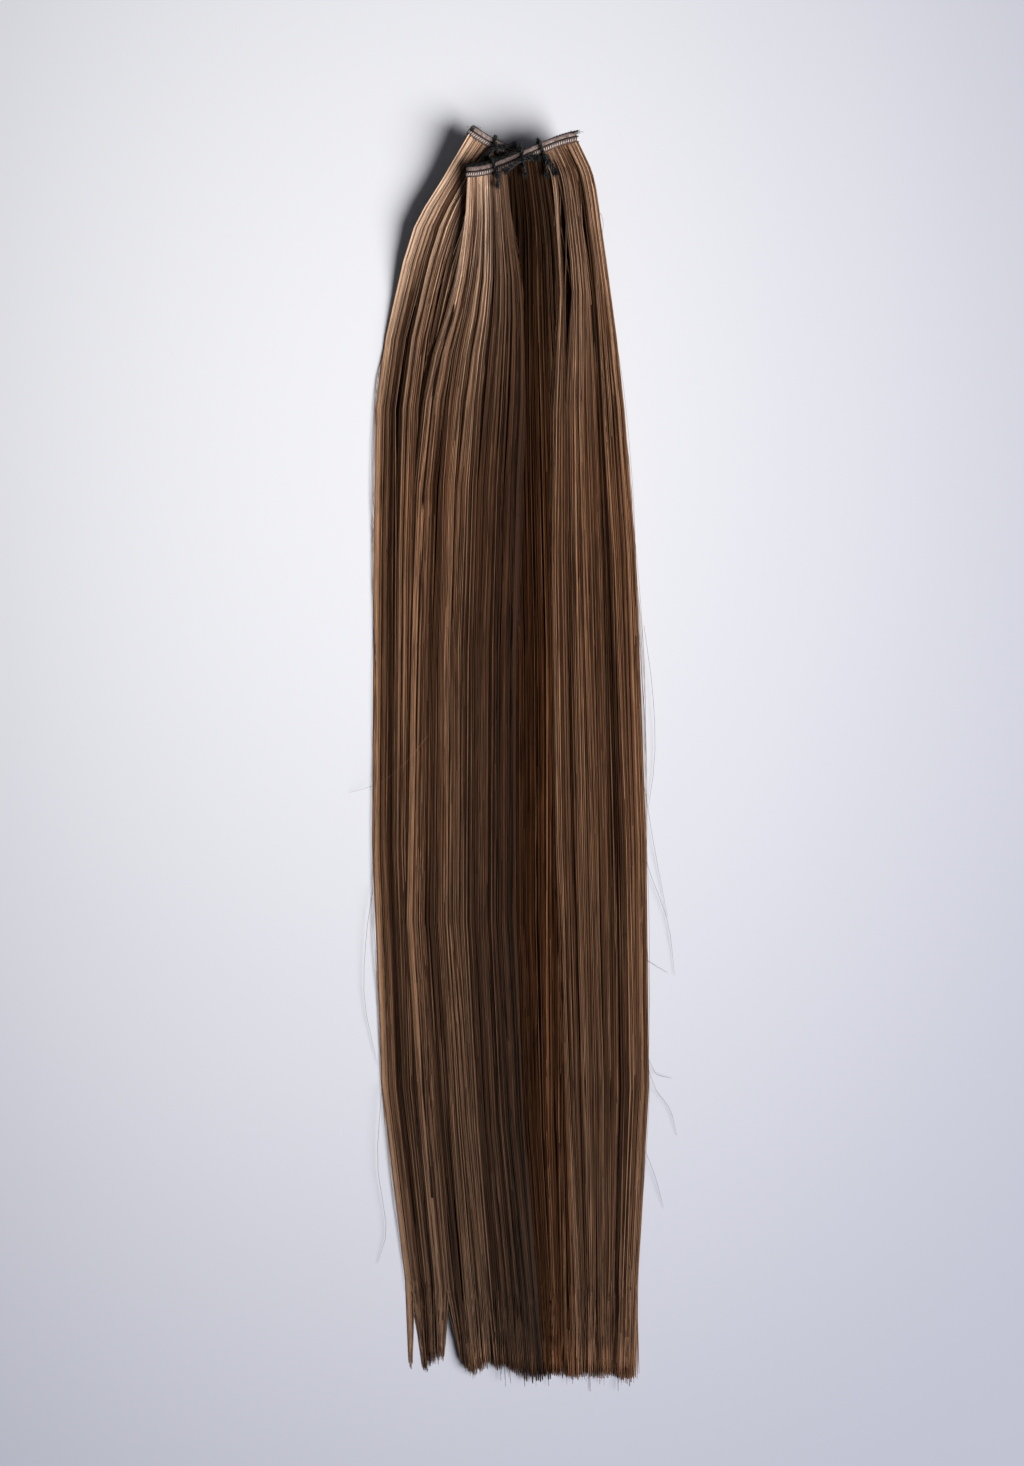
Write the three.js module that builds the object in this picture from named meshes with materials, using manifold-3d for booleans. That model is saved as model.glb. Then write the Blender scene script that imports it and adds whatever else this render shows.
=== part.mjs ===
// A machine-sewn weft hair extension, folded to and fro at its band, tied with short black cords and
// laid out flat. Millimetres. The hair runs along Y with the band at +Y, X lies across the hair and +Z is
// up from the surface that it lies on. The origin is on that surface, under the middle of the outline.

import * as THREE from "three";
import { mergeVertices } from "three/addons/utils/BufferGeometryUtils.js";
import Module from "manifold-3d";

const wasm = await Module();
wasm.setup();

// Driving dimensions
const GAP = 0.3; // clearance between pieces that lie against each other
const SHEET_GAP = 0.45; // clearance between sheets of hair
const BAND_HEIGHT = 5; // sewn band, measured along the hair
const BAND_THICKNESS = 1.6;
const BAND_EDGE = 1; // thickness of the band's rounded long edges
const INNER_X = -6; // a place between the left ends and the middle where the folds are measured too
const MIDDLE_X = 6; // where the cords gather the folds
const MIDDLE_Z = 3.1; // lowest fold's height at the middle
const MIDDLE_PITCH = 3.2; // from fold to fold at the middle, pulled together by the cords
const FOLD_STEPS = 8; // straight steps along one fold of the band
const TURN_STEPS = 4; // steps round one half turn of the band
const ROOT_PLACE = 0.58; // the hair leaves the band at this share of its height below its middle line
const ROOT_THICKNESS = 1.5; // hair where it leaves the band
const ROOT_STEP = 5; // least distance from the root to the first section below it
const ROOT_ROW = { depth: 2.2, steps: 6, halfThickness: 0.45 }; // the sewn row that the locks grow from
const TIP_LENGTH = 42; // over this length a lock narrows to its tip
const TIP_WIDTH = 0.45; // share of a lock's width and height that is left at its tip
const LOCK_OVERLAP = 1.36; // width of a lock over its share of the sheet
const LOCK_MARGIN = 1; // a lock is held up by the hair below it within this distance of its edges
const LOWEST_CROWN = 0.84; // the flattest lock's height over that of the fullest
const TIP_SCATTER = { shorter: 4, longer: 1.5 }; // how far a lock's tip may lie from the line of the tips
const SWAY = { share: 0.12, turn: 2.1, length: 70 }; // slow sideways wave of a lock, as a share of its width
const CORD_RADIUS = 0.8;
const CORD_SIDES = 8;
const CORD_STEP = 2.4; // length of one straight step of a cord
const KNOT_RADIUS = 1.7;
const KNOT_SHAPE = [1.15, 0.95, 0.8]; // a knot's half width, half length and half height over its radius
const KNOT_SIDES = [8, 5]; // round it and from its top to its bottom
const KNOT_RISE = 0.5; // a knot on the band's face sits this much above its loop
const LOOP_BEND = 1.5; // bend of a cord's loop round the band's edges
const LOOP_WAIST = 0.36; // share of the way down a loop where it lies furthest out
const LOOP_ROOM = { radius: CORD_RADIUS + 1.8 * GAP, step: 2.2, sides: 6 }; // room for a loop in the hair

const COLOURS = { brown: 0x5f422f, light: 0x8f6f55, dark: 0x2c1a10, band: 0x8a7466, black: 0x121214 };

// Turns rows of numbers into rows with named columns.
const named = (columns, rows) =>
  rows.map((row) => Object.fromEntries(columns.map((column, i) => [column, row[i]])));

// The folds of the band from the lowest to the highest: their ends, and their places between them in plan.
// A fold shares an end with the next one.
const FOLDS = named(
  ["leftX", "leftY", "leftZ", "innerY", "middleY", "rightX", "rightY", "rightZ"],
  [
    [-14.5, 278.0, 2.0, 274.6, 271.6, 25.0, 273.0, 2.0],
    [-14.5, 278.0, 6.0, 275.0, 272.0, 25.5, 275.0, 6.0],
    [-16.1, 282.0, 10.0, 275.8, 272.3, 25.5, 275.0, 10.0],
    [-16.1, 282.0, 14.0, 276.2, 272.5, 27.0, 276.0, 14.0],
    [-17.4, 263.6, 14.6, 266.0, 270.8, 27.0, 276.0, 18.0],
    [-17.4, 263.6, 17.2, 265.6, 270.3, 30.3, 278.7, 22.0],
  ],
);

// Sheets of hair, each from its own folds. A row is a section across the sheet at one place along the hair:
// its two edges, the least height of its underside and its thickness.
const SECTION = ["y", "left", "right", "lift", "thick"];
const SHEETS = {
  under: {
    folds: [0, 2],
    rootFrom: -14.5,
    rootTo: 25,
    locks: 6,
    tipLeft: -270,
    tipRight: -281,
    rows: named(SECTION, [
      [262, -27.0, 33.0, 0, 9.6],
      [240, -36.0, 38.0, 0, 8.4],
      [210, -46.0, 43.5, 0, 7.0],
      [170, -56.5, 49.5, 0, 5.6],
      [110, -61.0, 55.0, 0, 5.0],
      [20, -60.5, 59.5, 0, 4.6],
      [-80, -61.0, 61.0, 0, 4.1],
      [-150, -56.5, 61.5, 0, 3.6],
      [-238, -47.5, 57.0, 0, 2.8],
      [-285, -45.0, 57.0, 0, 1.8],
    ]),
  },
  left: {
    folds: [3, 3],
    rootFrom: -16.5,
    rootTo: 26,
    locks: 6,
    tipLeft: -262,
    tipRight: -276,
    rows: named(SECTION, [
      [262, -31.8, 22.0, 10.0, 2.4],
      [240, -45.0, 16.0, 8.2, 2.4],
      [210, -53.4, 8.0, 5.6, 2.4],
      [170, -61.4, 1.0, 2.4, 2.4],
      [110, -63.2, -4.0, 0.6, 2.3],
      [20, -61.8, -8.0, 0.3, 2.1],
      [-80, -62.3, -8.0, 0.3, 2.0],
      [-150, -58.8, -6.0, 0.3, 1.8],
      [-238, -48.9, -2.0, 0.3, 1.5],
      [-285, -46.0, 0.0, 0.3, 1.0],
    ]),
  },
  centre: {
    folds: [4, 4],
    rootFrom: -17,
    rootTo: 26,
    locks: 5,
    tipLeft: -279,
    tipRight: -283,
    rows: named(SECTION, [
      [262, -15.0, 33.0, 13.4, 2.0],
      [240, -22.0, 36.0, 10.8, 2.0],
      [210, -26.0, 40.5, 6.8, 2.0],
      [170, -28.0, 43.5, 3.2, 1.9],
      [110, -28.0, 46.0, 1.6, 1.8],
      [20, -25.0, 47.0, 0.5, 1.7],
      [-80, -22.0, 46.0, 0.3, 1.6],
      [-150, -20.0, 44.5, 0.3, 1.5],
      [-238, -14.0, 42.0, 0.3, 1.3],
      [-285, -11.0, 41.0, 0.3, 0.9],
    ]),
  },
  front_left: {
    folds: [5, 5],
    rootFrom: -17.5,
    rootTo: -1.5,
    locks: 5,
    tipLeft: -272,
    tipRight: -282,
    rows: named(SECTION, [
      [240, -22.0, 1.2, 13.6, 2.9],
      [210, -27.2, 4.8, 9.4, 2.9],
      [170, -37.8, 5.4, 5.8, 2.7],
      [110, -43.8, 2.8, 3.0, 2.5],
      [20, -46.0, 1.2, 1.0, 2.4],
      [-80, -46.0, 2.0, 0.3, 2.1],
      [-150, -43.0, 5.0, 0.3, 1.9],
      [-238, -36.0, 11.0, 0.3, 1.6],
      [-285, -33.0, 14.0, 0.3, 1.1],
    ]),
  },
  front_right: {
    folds: [5, 5],
    rootFrom: 14.5,
    rootTo: 29,
    locks: 5,
    tipLeft: -284,
    tipRight: -280,
    rows: named(SECTION, [
      [262, 17.0, 37.9, 16.2, 2.6],
      [240, 19.3, 41.6, 12.6, 2.8],
      [210, 21.2, 46.0, 8.4, 2.8],
      [170, 18.8, 51.0, 4.6, 2.6],
      [110, 17.5, 56.2, 2.2, 2.5],
      [20, 19.5, 61.2, 0.6, 2.4],
      [-80, 22.0, 62.7, 0.3, 2.1],
      [-150, 23.5, 63.5, 0.3, 2.0],
      [-238, 27.0, 58.4, 0.3, 1.6],
      [-285, 29.0, 58.4, 0.3, 1.1],
    ]),
  },
};
const STACK = Object.keys(SHEETS); // each sheet lies on those before it

// Lens of a lock across the hair: share of its half width, share of its height.
const LENS = [
  [1, 0.35],
  [0.48, 1],
  [-0.48, 1],
  [-1, 0.35],
  [-0.62, 0],
  [0.62, 0],
];

// Small even scatter between 0 and 1 that is the same on every run.
const scatter = (index, salt) => {
  const value = Math.sin(index * 12.9898 + salt * 78.233) * 43758.5453;
  return value - Math.floor(value);
};
const mix = THREE.MathUtils.lerp;

// Solids

// A closed skin over rings of points that run counter-clockwise about the direction of travel.
function loft(rings) {
  const count = rings[0].length;
  const points = rings.flat();
  const index = [];
  for (let i = 0; i + 1 < rings.length; i++) {
    for (let j = 0; j < count; j++) {
      const a = i * count + j;
      const b = i * count + ((j + 1) % count);
      index.push(a, b, a + count, b, b + count, a + count);
    }
  }
  const last = (rings.length - 1) * count;
  for (let j = 1; j + 1 < count; j++) {
    index.push(0, j + 1, j);
    index.push(last, last + j, last + j + 1);
  }
  return new THREE.BufferGeometry().setFromPoints(points).setIndex(index);
}

// A round cord along points, closed at both ends.
function cord(points, radius = CORD_RADIUS, stepLength = CORD_STEP, sides = CORD_SIDES) {
  const path = new THREE.CatmullRomCurve3(points.map((point) => new THREE.Vector3(...point)));
  const corners = Array.from({ length: sides }, (_, i) => {
    const angle = (i * 2 * Math.PI) / sides;
    return new THREE.Vector2(radius * Math.cos(angle), radius * Math.sin(angle));
  });
  const steps = Math.max(3, Math.round(path.getLength() / stepLength));
  return new THREE.ExtrudeGeometry(new THREE.Shape(corners), { extrudePath: path, steps });
}

// A knot as a squashed ball.
function knot([x, y, z], radius = KNOT_RADIUS) {
  return new THREE.SphereGeometry(radius, ...KNOT_SIDES).scale(...KNOT_SHAPE).translate(x, y, z);
}

// A closed geometry as a solid that can be joined and cut.
function solid(geometry) {
  const bare = geometry.index ? geometry.toNonIndexed() : geometry.clone();
  bare.deleteAttribute("normal");
  bare.deleteAttribute("uv");
  const merged = mergeVertices(bare, 1e-4);
  return new wasm.Manifold(
    new wasm.Mesh({
      numProp: 3,
      vertProperties: merged.attributes.position.array,
      triVerts: new Uint32Array(merged.index.array),
    }),
  );
}

const joined = (solids) => solids.reduce((whole, next) => whole.add(next));

// A solid's largest body as a geometry.
function geometryOf(body) {
  const parts = body.decompose().sort((a, b) => b.volume() - a.volume());
  const mesh = parts[0].getMesh();
  return new THREE.BufferGeometry()
    .setAttribute("position", new THREE.BufferAttribute(mesh.vertProperties, 3))
    .setIndex(new THREE.BufferAttribute(mesh.triVerts, 1));
}

// Band

// Height of a fold at x: level at the middle, where the cords hold it, and bending towards its ends.
function foldZ(fold, x) {
  const { leftX, leftZ, rightX, rightZ } = FOLDS[fold];
  const [endX, endZ] = x < MIDDLE_X ? [leftX, leftZ] : [rightX, rightZ];
  const share = (x - MIDDLE_X) / (endX - MIDDLE_X);
  return mix(MIDDLE_Z + fold * MIDDLE_PITCH, endZ, share * share);
}

// Place of a fold along the hair at x: the smooth curve through its two ends and the two places between them.
function foldY(fold, x) {
  const { leftX, leftY, innerY, middleY, rightX, rightY } = FOLDS[fold];
  const xs = [leftX, INNER_X, MIDDLE_X, rightX];
  const ys = [leftY, innerY, middleY, rightY];
  return ys.reduce((sum, y, i) => {
    const others = xs.filter((_, j) => j !== i);
    return sum + others.reduce((product, other) => (product * (x - other)) / (xs[i] - other), y);
  }, 0);
}

const foldPoint = (fold, x) => new THREE.Vector3(x, foldY(fold, x), foldZ(fold, x));

// Direction along a fold towards +X, in plan.
function foldDirection(fold, x) {
  const reach = 0.5;
  return new THREE.Vector3(2 * reach, foldY(fold, x + reach) - foldY(fold, x - reach), 0).normalize();
}

// Places along the hair of a run of folds at x.
const runY = ([first, last], x) => Array.from({ length: last - first + 1 }, (_, i) => foldY(first + i, x));

// The band's lower long edge, where the hair of a run of folds leaves it.
const bandEdgeY = (folds, x) => Math.min(...runY(folds, x)) - BAND_HEIGHT * ROOT_PLACE;

// Stations along the whole folded strip: a place, the way it travels and the way up its height.
function bandStations() {
  const stations = [];
  const across = (direction) => new THREE.Vector3(-direction.y, direction.x, 0);
  FOLDS.forEach(({ leftX, rightX }, fold) => {
    const rightward = fold % 2 === 1;
    for (let i = 0; i <= FOLD_STEPS; i++) {
      const x = rightward ? mix(leftX, rightX, i / FOLD_STEPS) : mix(rightX, leftX, i / FOLD_STEPS);
      const direction = foldDirection(fold, x);
      const travel = direction.clone().multiplyScalar(rightward ? 1 : -1);
      stations.push({ place: foldPoint(fold, x), travel, up: across(direction) });
    }
    if (fold + 1 === FOLDS.length) return;
    const endX = rightward ? rightX : leftX;
    const here = foldDirection(fold, endX);
    const next = foldDirection(fold + 1, endX);
    const outward = here.clone().add(next).normalize().multiplyScalar(rightward ? 1 : -1);
    const start = foldPoint(fold, endX);
    const end = foldPoint(fold + 1, endX);
    const radius = (end.z - start.z) / 2;
    for (let i = 1; i < TURN_STEPS; i++) {
      const turn = (i / TURN_STEPS) * Math.PI;
      const place = start.clone().lerp(end, i / TURN_STEPS).addScaledVector(outward, radius * Math.sin(turn));
      place.z = mix(start.z, end.z, (1 - Math.cos(turn)) / 2);
      const travel = outward.clone().multiplyScalar(Math.cos(turn));
      travel.z = Math.sin(turn);
      stations.push({ place, travel, up: across(here.clone().lerp(next, i / TURN_STEPS).normalize()) });
    }
  });
  return stations;
}

// Half of the band's outline across its height: share of the half height, half thickness.
const BAND_HALF = [
  [1, BAND_EDGE / 2],
  [0.84, BAND_THICKNESS / 2],
  [-0.84, BAND_THICKNESS / 2],
  [-1, BAND_EDGE / 2],
];

function weftBand() {
  const outline = [...BAND_HALF, ...BAND_HALF.map(([share, half]) => [share, -half]).reverse()];
  const rings = bandStations().map(({ place, travel, up }) => {
    const face = travel.clone().cross(up).normalize();
    return outline.map(([share, half]) =>
      place.clone().addScaledVector(up, (share * BAND_HEIGHT) / 2).addScaledVector(face, half),
    );
  });
  return loft(rings);
}

// Hair

// A sheet's section at y, between the rows of its table.
function sectionAt(sheet, y) {
  const { rows } = SHEETS[sheet];
  if (y >= rows[0].y) return rows[0];
  const next = rows.findIndex((row) => row.y <= y);
  if (next < 0) return rows[rows.length - 1];
  const [above, below] = [rows[next - 1], rows[next]];
  const share = (above.y - y) / (above.y - below.y);
  return Object.fromEntries(SECTION.map((column) => [column, mix(above[column], below[column], share)]));
}

// Rounded fall of a sheet's thickness from its middle to its edges, for a place from 0 to 1 across it.
function dome(across) {
  const off = Math.min(1, Math.abs(2 * across - 1));
  return (1 - off ** 3) ** 0.6;
}

// Where a lock lies at y: its middle across the hair, half its width, its underside and its height.
function lockAt(sheet, lock, y) {
  const { locks, tipLeft, tipRight } = SHEETS[sheet];
  const { left, right, lift, thick } = sectionAt(sheet, y);
  const salt = STACK.indexOf(sheet);
  const place = (lock + 0.5) / locks;
  const tipShift = mix(TIP_SCATTER.shorter, -TIP_SCATTER.longer, scatter(lock, salt + 9));
  const tipY = mix(tipLeft, tipRight, place) + tipShift;
  const crown = mix(LOWEST_CROWN, 1, scatter(lock, salt));
  const narrowed = mix(TIP_WIDTH, 1, THREE.MathUtils.clamp((y - tipY) / TIP_LENGTH, 0, 1));
  const halfWidth = (((right - left) / locks) * LOCK_OVERLAP * narrowed) / 2;
  const sway = (SWAY.share * Math.sin(lock * SWAY.turn + salt + y / SWAY.length)) / locks;
  const x = THREE.MathUtils.clamp(mix(left, right, place + sway), left + halfWidth, right - halfWidth);
  const held = salt === 0 ? 0 : supportZ(sheet, x - halfWidth, x + halfWidth, y) + SHEET_GAP;
  const base = Math.max(lift, held);
  return { x, halfWidth, base, height: thick * dome(place) * crown * narrowed, tipY };
}

// Height of the hair that lies under a sheet between two places across it.
const measured = new Map();
function supportZ(sheet, fromX, toX, y) {
  const key = `${sheet} ${y}`;
  if (!measured.has(key)) {
    const below = STACK.slice(0, STACK.indexOf(sheet));
    const locksOf = (name) => Array.from({ length: SHEETS[name].locks }, (_, lock) => lockAt(name, lock, y));
    measured.set(key, below.flatMap(locksOf));
  }
  const met = measured
    .get(key)
    .filter(({ x, halfWidth }) => x + halfWidth > fromX - LOCK_MARGIN && x - halfWidth < toX + LOCK_MARGIN);
  return Math.max(0, ...met.map(({ base, height }) => base + height));
}

// One lock from its root at the band to its tip.
function hairLock(sheet, lock) {
  const { folds, rootFrom, rootTo, locks, rows } = SHEETS[sheet];
  const rootX = mix(rootFrom, rootTo, (lock + 0.5) / locks);
  const rootY = bandEdgeY(folds, rootX) - GAP;
  const rootHalf = ((rootTo - rootFrom) / locks / 2) * LOCK_OVERLAP;
  const rootBase = foldZ(folds[0], rootX) - ROOT_THICKNESS / 2;
  const rootHeight = foldZ(folds[1], rootX) + ROOT_THICKNESS / 2 - rootBase;
  const { tipY } = lockAt(sheet, lock, 0);
  const stops = rows.map((row) => row.y).filter((y) => y < rootY - ROOT_STEP && y > tipY + TIP_LENGTH);
  const root = LENS.map(([across, up]) => {
    const x = rootX + across * rootHalf;
    return new THREE.Vector3(x, bandEdgeY(folds, x) - GAP, rootBase + up * rootHeight);
  });
  const sections = [...stops, tipY + TIP_LENGTH, tipY].map((y) => {
    const { x, halfWidth, base, height } = lockAt(sheet, lock, y);
    return LENS.map(([across, up]) => new THREE.Vector3(x + across * halfWidth, y, base + up * height));
  });
  return solid(loft([root, ...sections]));
}

// The sewn row that a sheet's locks grow from, just under the band.
function rootRow(sheet) {
  const { folds, rootFrom, rootTo } = SHEETS[sheet];
  const { depth, steps, halfThickness } = ROOT_ROW;
  const rings = Array.from({ length: steps + 1 }, (_, i) => {
    const x = mix(rootFrom, rootTo, i / steps);
    const top = bandEdgeY(folds, x) - GAP;
    const low = foldZ(folds[0], x) - halfThickness;
    const high = foldZ(folds[1], x) + halfThickness;
    const corners = [
      [top, high],
      [top - depth, high],
      [top - depth, low],
      [top, low],
    ];
    return corners.map(([y, z]) => new THREE.Vector3(x, y, z));
  });
  return solid(loft(rings));
}

function hairSheet(sheet) {
  const locks = Array.from({ length: SHEETS[sheet].locks }, (_, lock) => hairLock(sheet, lock));
  return joined([rootRow(sheet), ...locks]);
}

// Cords

// Each cord: the folds that it goes round, where it crosses them and how far it leans, how far its knot lies
// from the top fold's middle line, and its loose tails as steps across, along and up from the knot.
const TIES = {
  tie_back_left: {
    folds: [0, 3],
    x: -6.2,
    lean: -0.1,
    knotY: -0.7,
    tails: [
      [[-2.6, -2.4, 0.1], [-5.0, -5.6, -0.3]],
      [[2.6, -0.6, 0.6], [7.6, 0.2, 0.4]],
    ],
  },
  tie_front_left: {
    folds: [4, 5],
    x: -6.5,
    lean: -0.36,
    knotY: -3.6,
    tails: [[[0.3, -2.2, 0.2], [-0.2, -4.4, -0.2]]],
  },
  tie_middle: {
    folds: [0, 5],
    x: 6,
    lean: -0.15,
    knotY: -1.6,
    tails: [
      [[-3.2, -1.8, 0.5], [-7.6, -5.2, 1.0]],
      [[0.4, -3.0, 0.3], [0.6, -6.0, -0.6]],
      [[2.8, 0.2, 0.5], [5.6, 0.4, 0.6]],
    ],
  },
  tie_right: {
    folds: [0, 5],
    x: 14.4,
    lean: -0.4,
    knotY: -4.2,
    tails: [
      [[0.4, -3.6, 0.2], [0.8, -7.6, -0.8]],
      [[2.2, -3.0, 0.9], [4.2, -6.8, 0.6]],
    ],
  },
};

// The loop of a cord round its folds, from its knot and back to it.
function loopOf({ folds, x, lean, knotY }) {
  const [first, last] = folds;
  const run = runY(folds, x);
  const middle = run[run.length - 1];
  const reach = BAND_HEIGHT / 2 / foldDirection(last, x).x + CORD_RADIUS + 2 * GAP;
  const lowest = CORD_RADIUS + GAP / 2;
  const low = Math.max(foldZ(first, x) - BAND_THICKNESS / 2 - lowest, lowest);
  const high = foldZ(last, x) + BAND_THICKNESS / 2 + CORD_RADIUS + GAP;
  const waist = mix(high, low, LOOP_WAIST);
  const within = LOOP_BEND * (1 - Math.SQRT1_2);
  // Three points round the corner where two sides meet.
  const corner = (y, z, inY, inZ) => [
    [y, z + inZ * LOOP_BEND],
    [y + inY * within, z + inZ * within],
    [y + inY * LOOP_BEND, z],
  ];
  const front = Math.min(...run) - reach;
  const back = Math.max(...run) + reach;
  const profile = [
    [middle + knotY, high],
    [middle + Math.max(0, knotY + 2), high],
    ...corner(middle + reach, high, -1, -1).reverse(),
    [back, waist],
    ...corner(back, low, -1, 1),
    [(front + back) / 2, low],
    ...corner(front, low, 1, 1).reverse(),
    [front, waist],
    ...(knotY < -reach ? [[middle - reach, high - LOOP_BEND]] : corner(middle - reach, high, 1, -1)),
    [middle + knotY, high - GAP],
  ];
  const points = profile.map(([y, z]) => [x + lean * (y - middle), y, z]);
  const [knotX, , knotZ] = points[0];
  return { points, knot: [knotX, middle + knotY, knotZ + (knotY > -reach ? KNOT_RISE : 0)] };
}

function tie(name) {
  const { points, knot: at } = loopOf(TIES[name]);
  const tails = TIES[name].tails.map((steps) =>
    cord([at, ...steps.map(([x, y, z]) => [at[0] + x, at[1] + y, at[2] + z])]),
  );
  return joined([knot(at), cord(points), ...tails].map(solid));
}

// The room that a cord takes in the hair, with its clearance.
const tieRoom = (name) => {
  const { points, knot: at } = loopOf(TIES[name]);
  const channel = cord(points, LOOP_ROOM.radius, LOOP_ROOM.step, LOOP_ROOM.sides);
  return joined([solid(channel), solid(knot(at, KNOT_RADIUS + GAP))]);
};

// Assembly

const finish = (color, roughness) => new THREE.MeshStandardMaterial({ color, roughness, metalness: 0 });
const hairFinishes = {
  under: finish(COLOURS.brown, 0.45),
  left: finish(COLOURS.light, 0.45),
  centre: finish(COLOURS.dark, 0.4),
  front_left: finish(COLOURS.light, 0.45),
  front_right: finish(COLOURS.brown, 0.45),
};

const weft = new THREE.Group();

function place(name, geometry, material) {
  const mesh = new THREE.Mesh(geometry, material);
  mesh.name = name;
  weft.add(mesh);
}

place("weft_band", weftBand(), finish(COLOURS.band, 0.6));
const room = joined(Object.keys(TIES).map(tieRoom));
for (const sheet of STACK) {
  place(`hair_${sheet}`, geometryOf(hairSheet(sheet).subtract(room)), hairFinishes[sheet]);
}
for (const name of Object.keys(TIES)) {
  place(name, geometryOf(tie(name)), finish(COLOURS.black, 0.8));
}

export default weft;
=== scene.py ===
"""Looks of a folded weft hair extension: strands of hair, a sewn band and the black cords that tie it."""

import bmesh
import bpy
import numpy as np
from bpy.props import FloatProperty, FloatVectorProperty, IntProperty, PointerProperty
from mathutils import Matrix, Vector
from mathutils.bvhtree import BVHTree


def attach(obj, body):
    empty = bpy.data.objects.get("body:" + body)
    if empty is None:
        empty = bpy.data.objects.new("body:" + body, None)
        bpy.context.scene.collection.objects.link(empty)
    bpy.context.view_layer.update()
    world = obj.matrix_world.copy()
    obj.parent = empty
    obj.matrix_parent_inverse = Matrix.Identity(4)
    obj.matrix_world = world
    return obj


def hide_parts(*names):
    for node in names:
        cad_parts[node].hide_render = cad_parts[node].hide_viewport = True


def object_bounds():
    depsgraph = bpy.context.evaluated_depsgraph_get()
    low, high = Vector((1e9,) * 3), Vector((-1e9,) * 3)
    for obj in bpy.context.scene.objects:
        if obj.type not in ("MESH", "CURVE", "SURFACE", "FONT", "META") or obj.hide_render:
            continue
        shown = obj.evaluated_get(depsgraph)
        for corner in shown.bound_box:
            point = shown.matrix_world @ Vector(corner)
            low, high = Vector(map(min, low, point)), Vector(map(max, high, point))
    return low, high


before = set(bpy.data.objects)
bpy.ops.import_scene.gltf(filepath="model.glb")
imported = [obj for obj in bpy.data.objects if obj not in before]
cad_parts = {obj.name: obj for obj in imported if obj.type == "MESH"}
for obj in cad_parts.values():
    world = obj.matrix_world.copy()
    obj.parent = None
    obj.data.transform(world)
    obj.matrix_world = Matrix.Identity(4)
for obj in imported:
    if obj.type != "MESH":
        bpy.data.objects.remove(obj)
CAD_LOW, CAD_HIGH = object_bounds()

bl_info = {
    "name": "Weft Hair Extension",
    "version": (1, 0, 0),
    "blender": (4, 5, 0),
    "location": "View3D > Sidebar > Weft Hair",
    "description": "Hair, sewn band and tying cords of a folded weft hair extension",
    "category": "Object",
}

MM = 0.001
FULL_TURN = 2 * np.pi
UP = np.array([0, 0, 1.0])

# The folded band. Each fold in millimetres: its left end, y at INNER_X and at MIDDLE_X, and its right end.
FOLDS = MM * np.array([
    [-14.5, 278.0, 2.0, 274.6, 271.6, 25.0, 273.0, 2.0],
    [-14.5, 278.0, 6.0, 275.0, 272.0, 25.5, 275.0, 6.0],
    [-16.1, 282.0, 10.0, 275.8, 272.3, 25.5, 275.0, 10.0],
    [-16.1, 282.0, 14.0, 276.2, 272.5, 27.0, 276.0, 14.0],
    [-17.4, 263.6, 14.6, 266.0, 270.8, 27.0, 276.0, 18.0],
    [-17.4, 263.6, 17.2, 265.6, 270.3, 30.3, 278.7, 22.0],
])
LEFT_X, LEFT_Y, LEFT_Z, INNER_Y, MIDDLE_Y, RIGHT_X, RIGHT_Y, RIGHT_Z = FOLDS.T
TOP_FOLD = len(FOLDS) - 1
RAISED_FOLD = 3  # the fold whose left end stands out at the back
INNER_X = -6 * MM
MIDDLE_X = 6 * MM
MIDDLE_Z = 3.1 * MM
MIDDLE_PITCH = 3.2 * MM
BAND_HEIGHT = 5 * MM
BAND_THICKNESS = 1.6 * MM

# Places along the hair where the sheets are measured, from the band to the tips.
STATIONS = MM * np.array([262, 240, 210, 170, 110, 20, -80, -150, -238])
ACROSS_SAMPLES = 61
TONE_COLUMNS = 24  # shades of hair that are told apart

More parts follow.
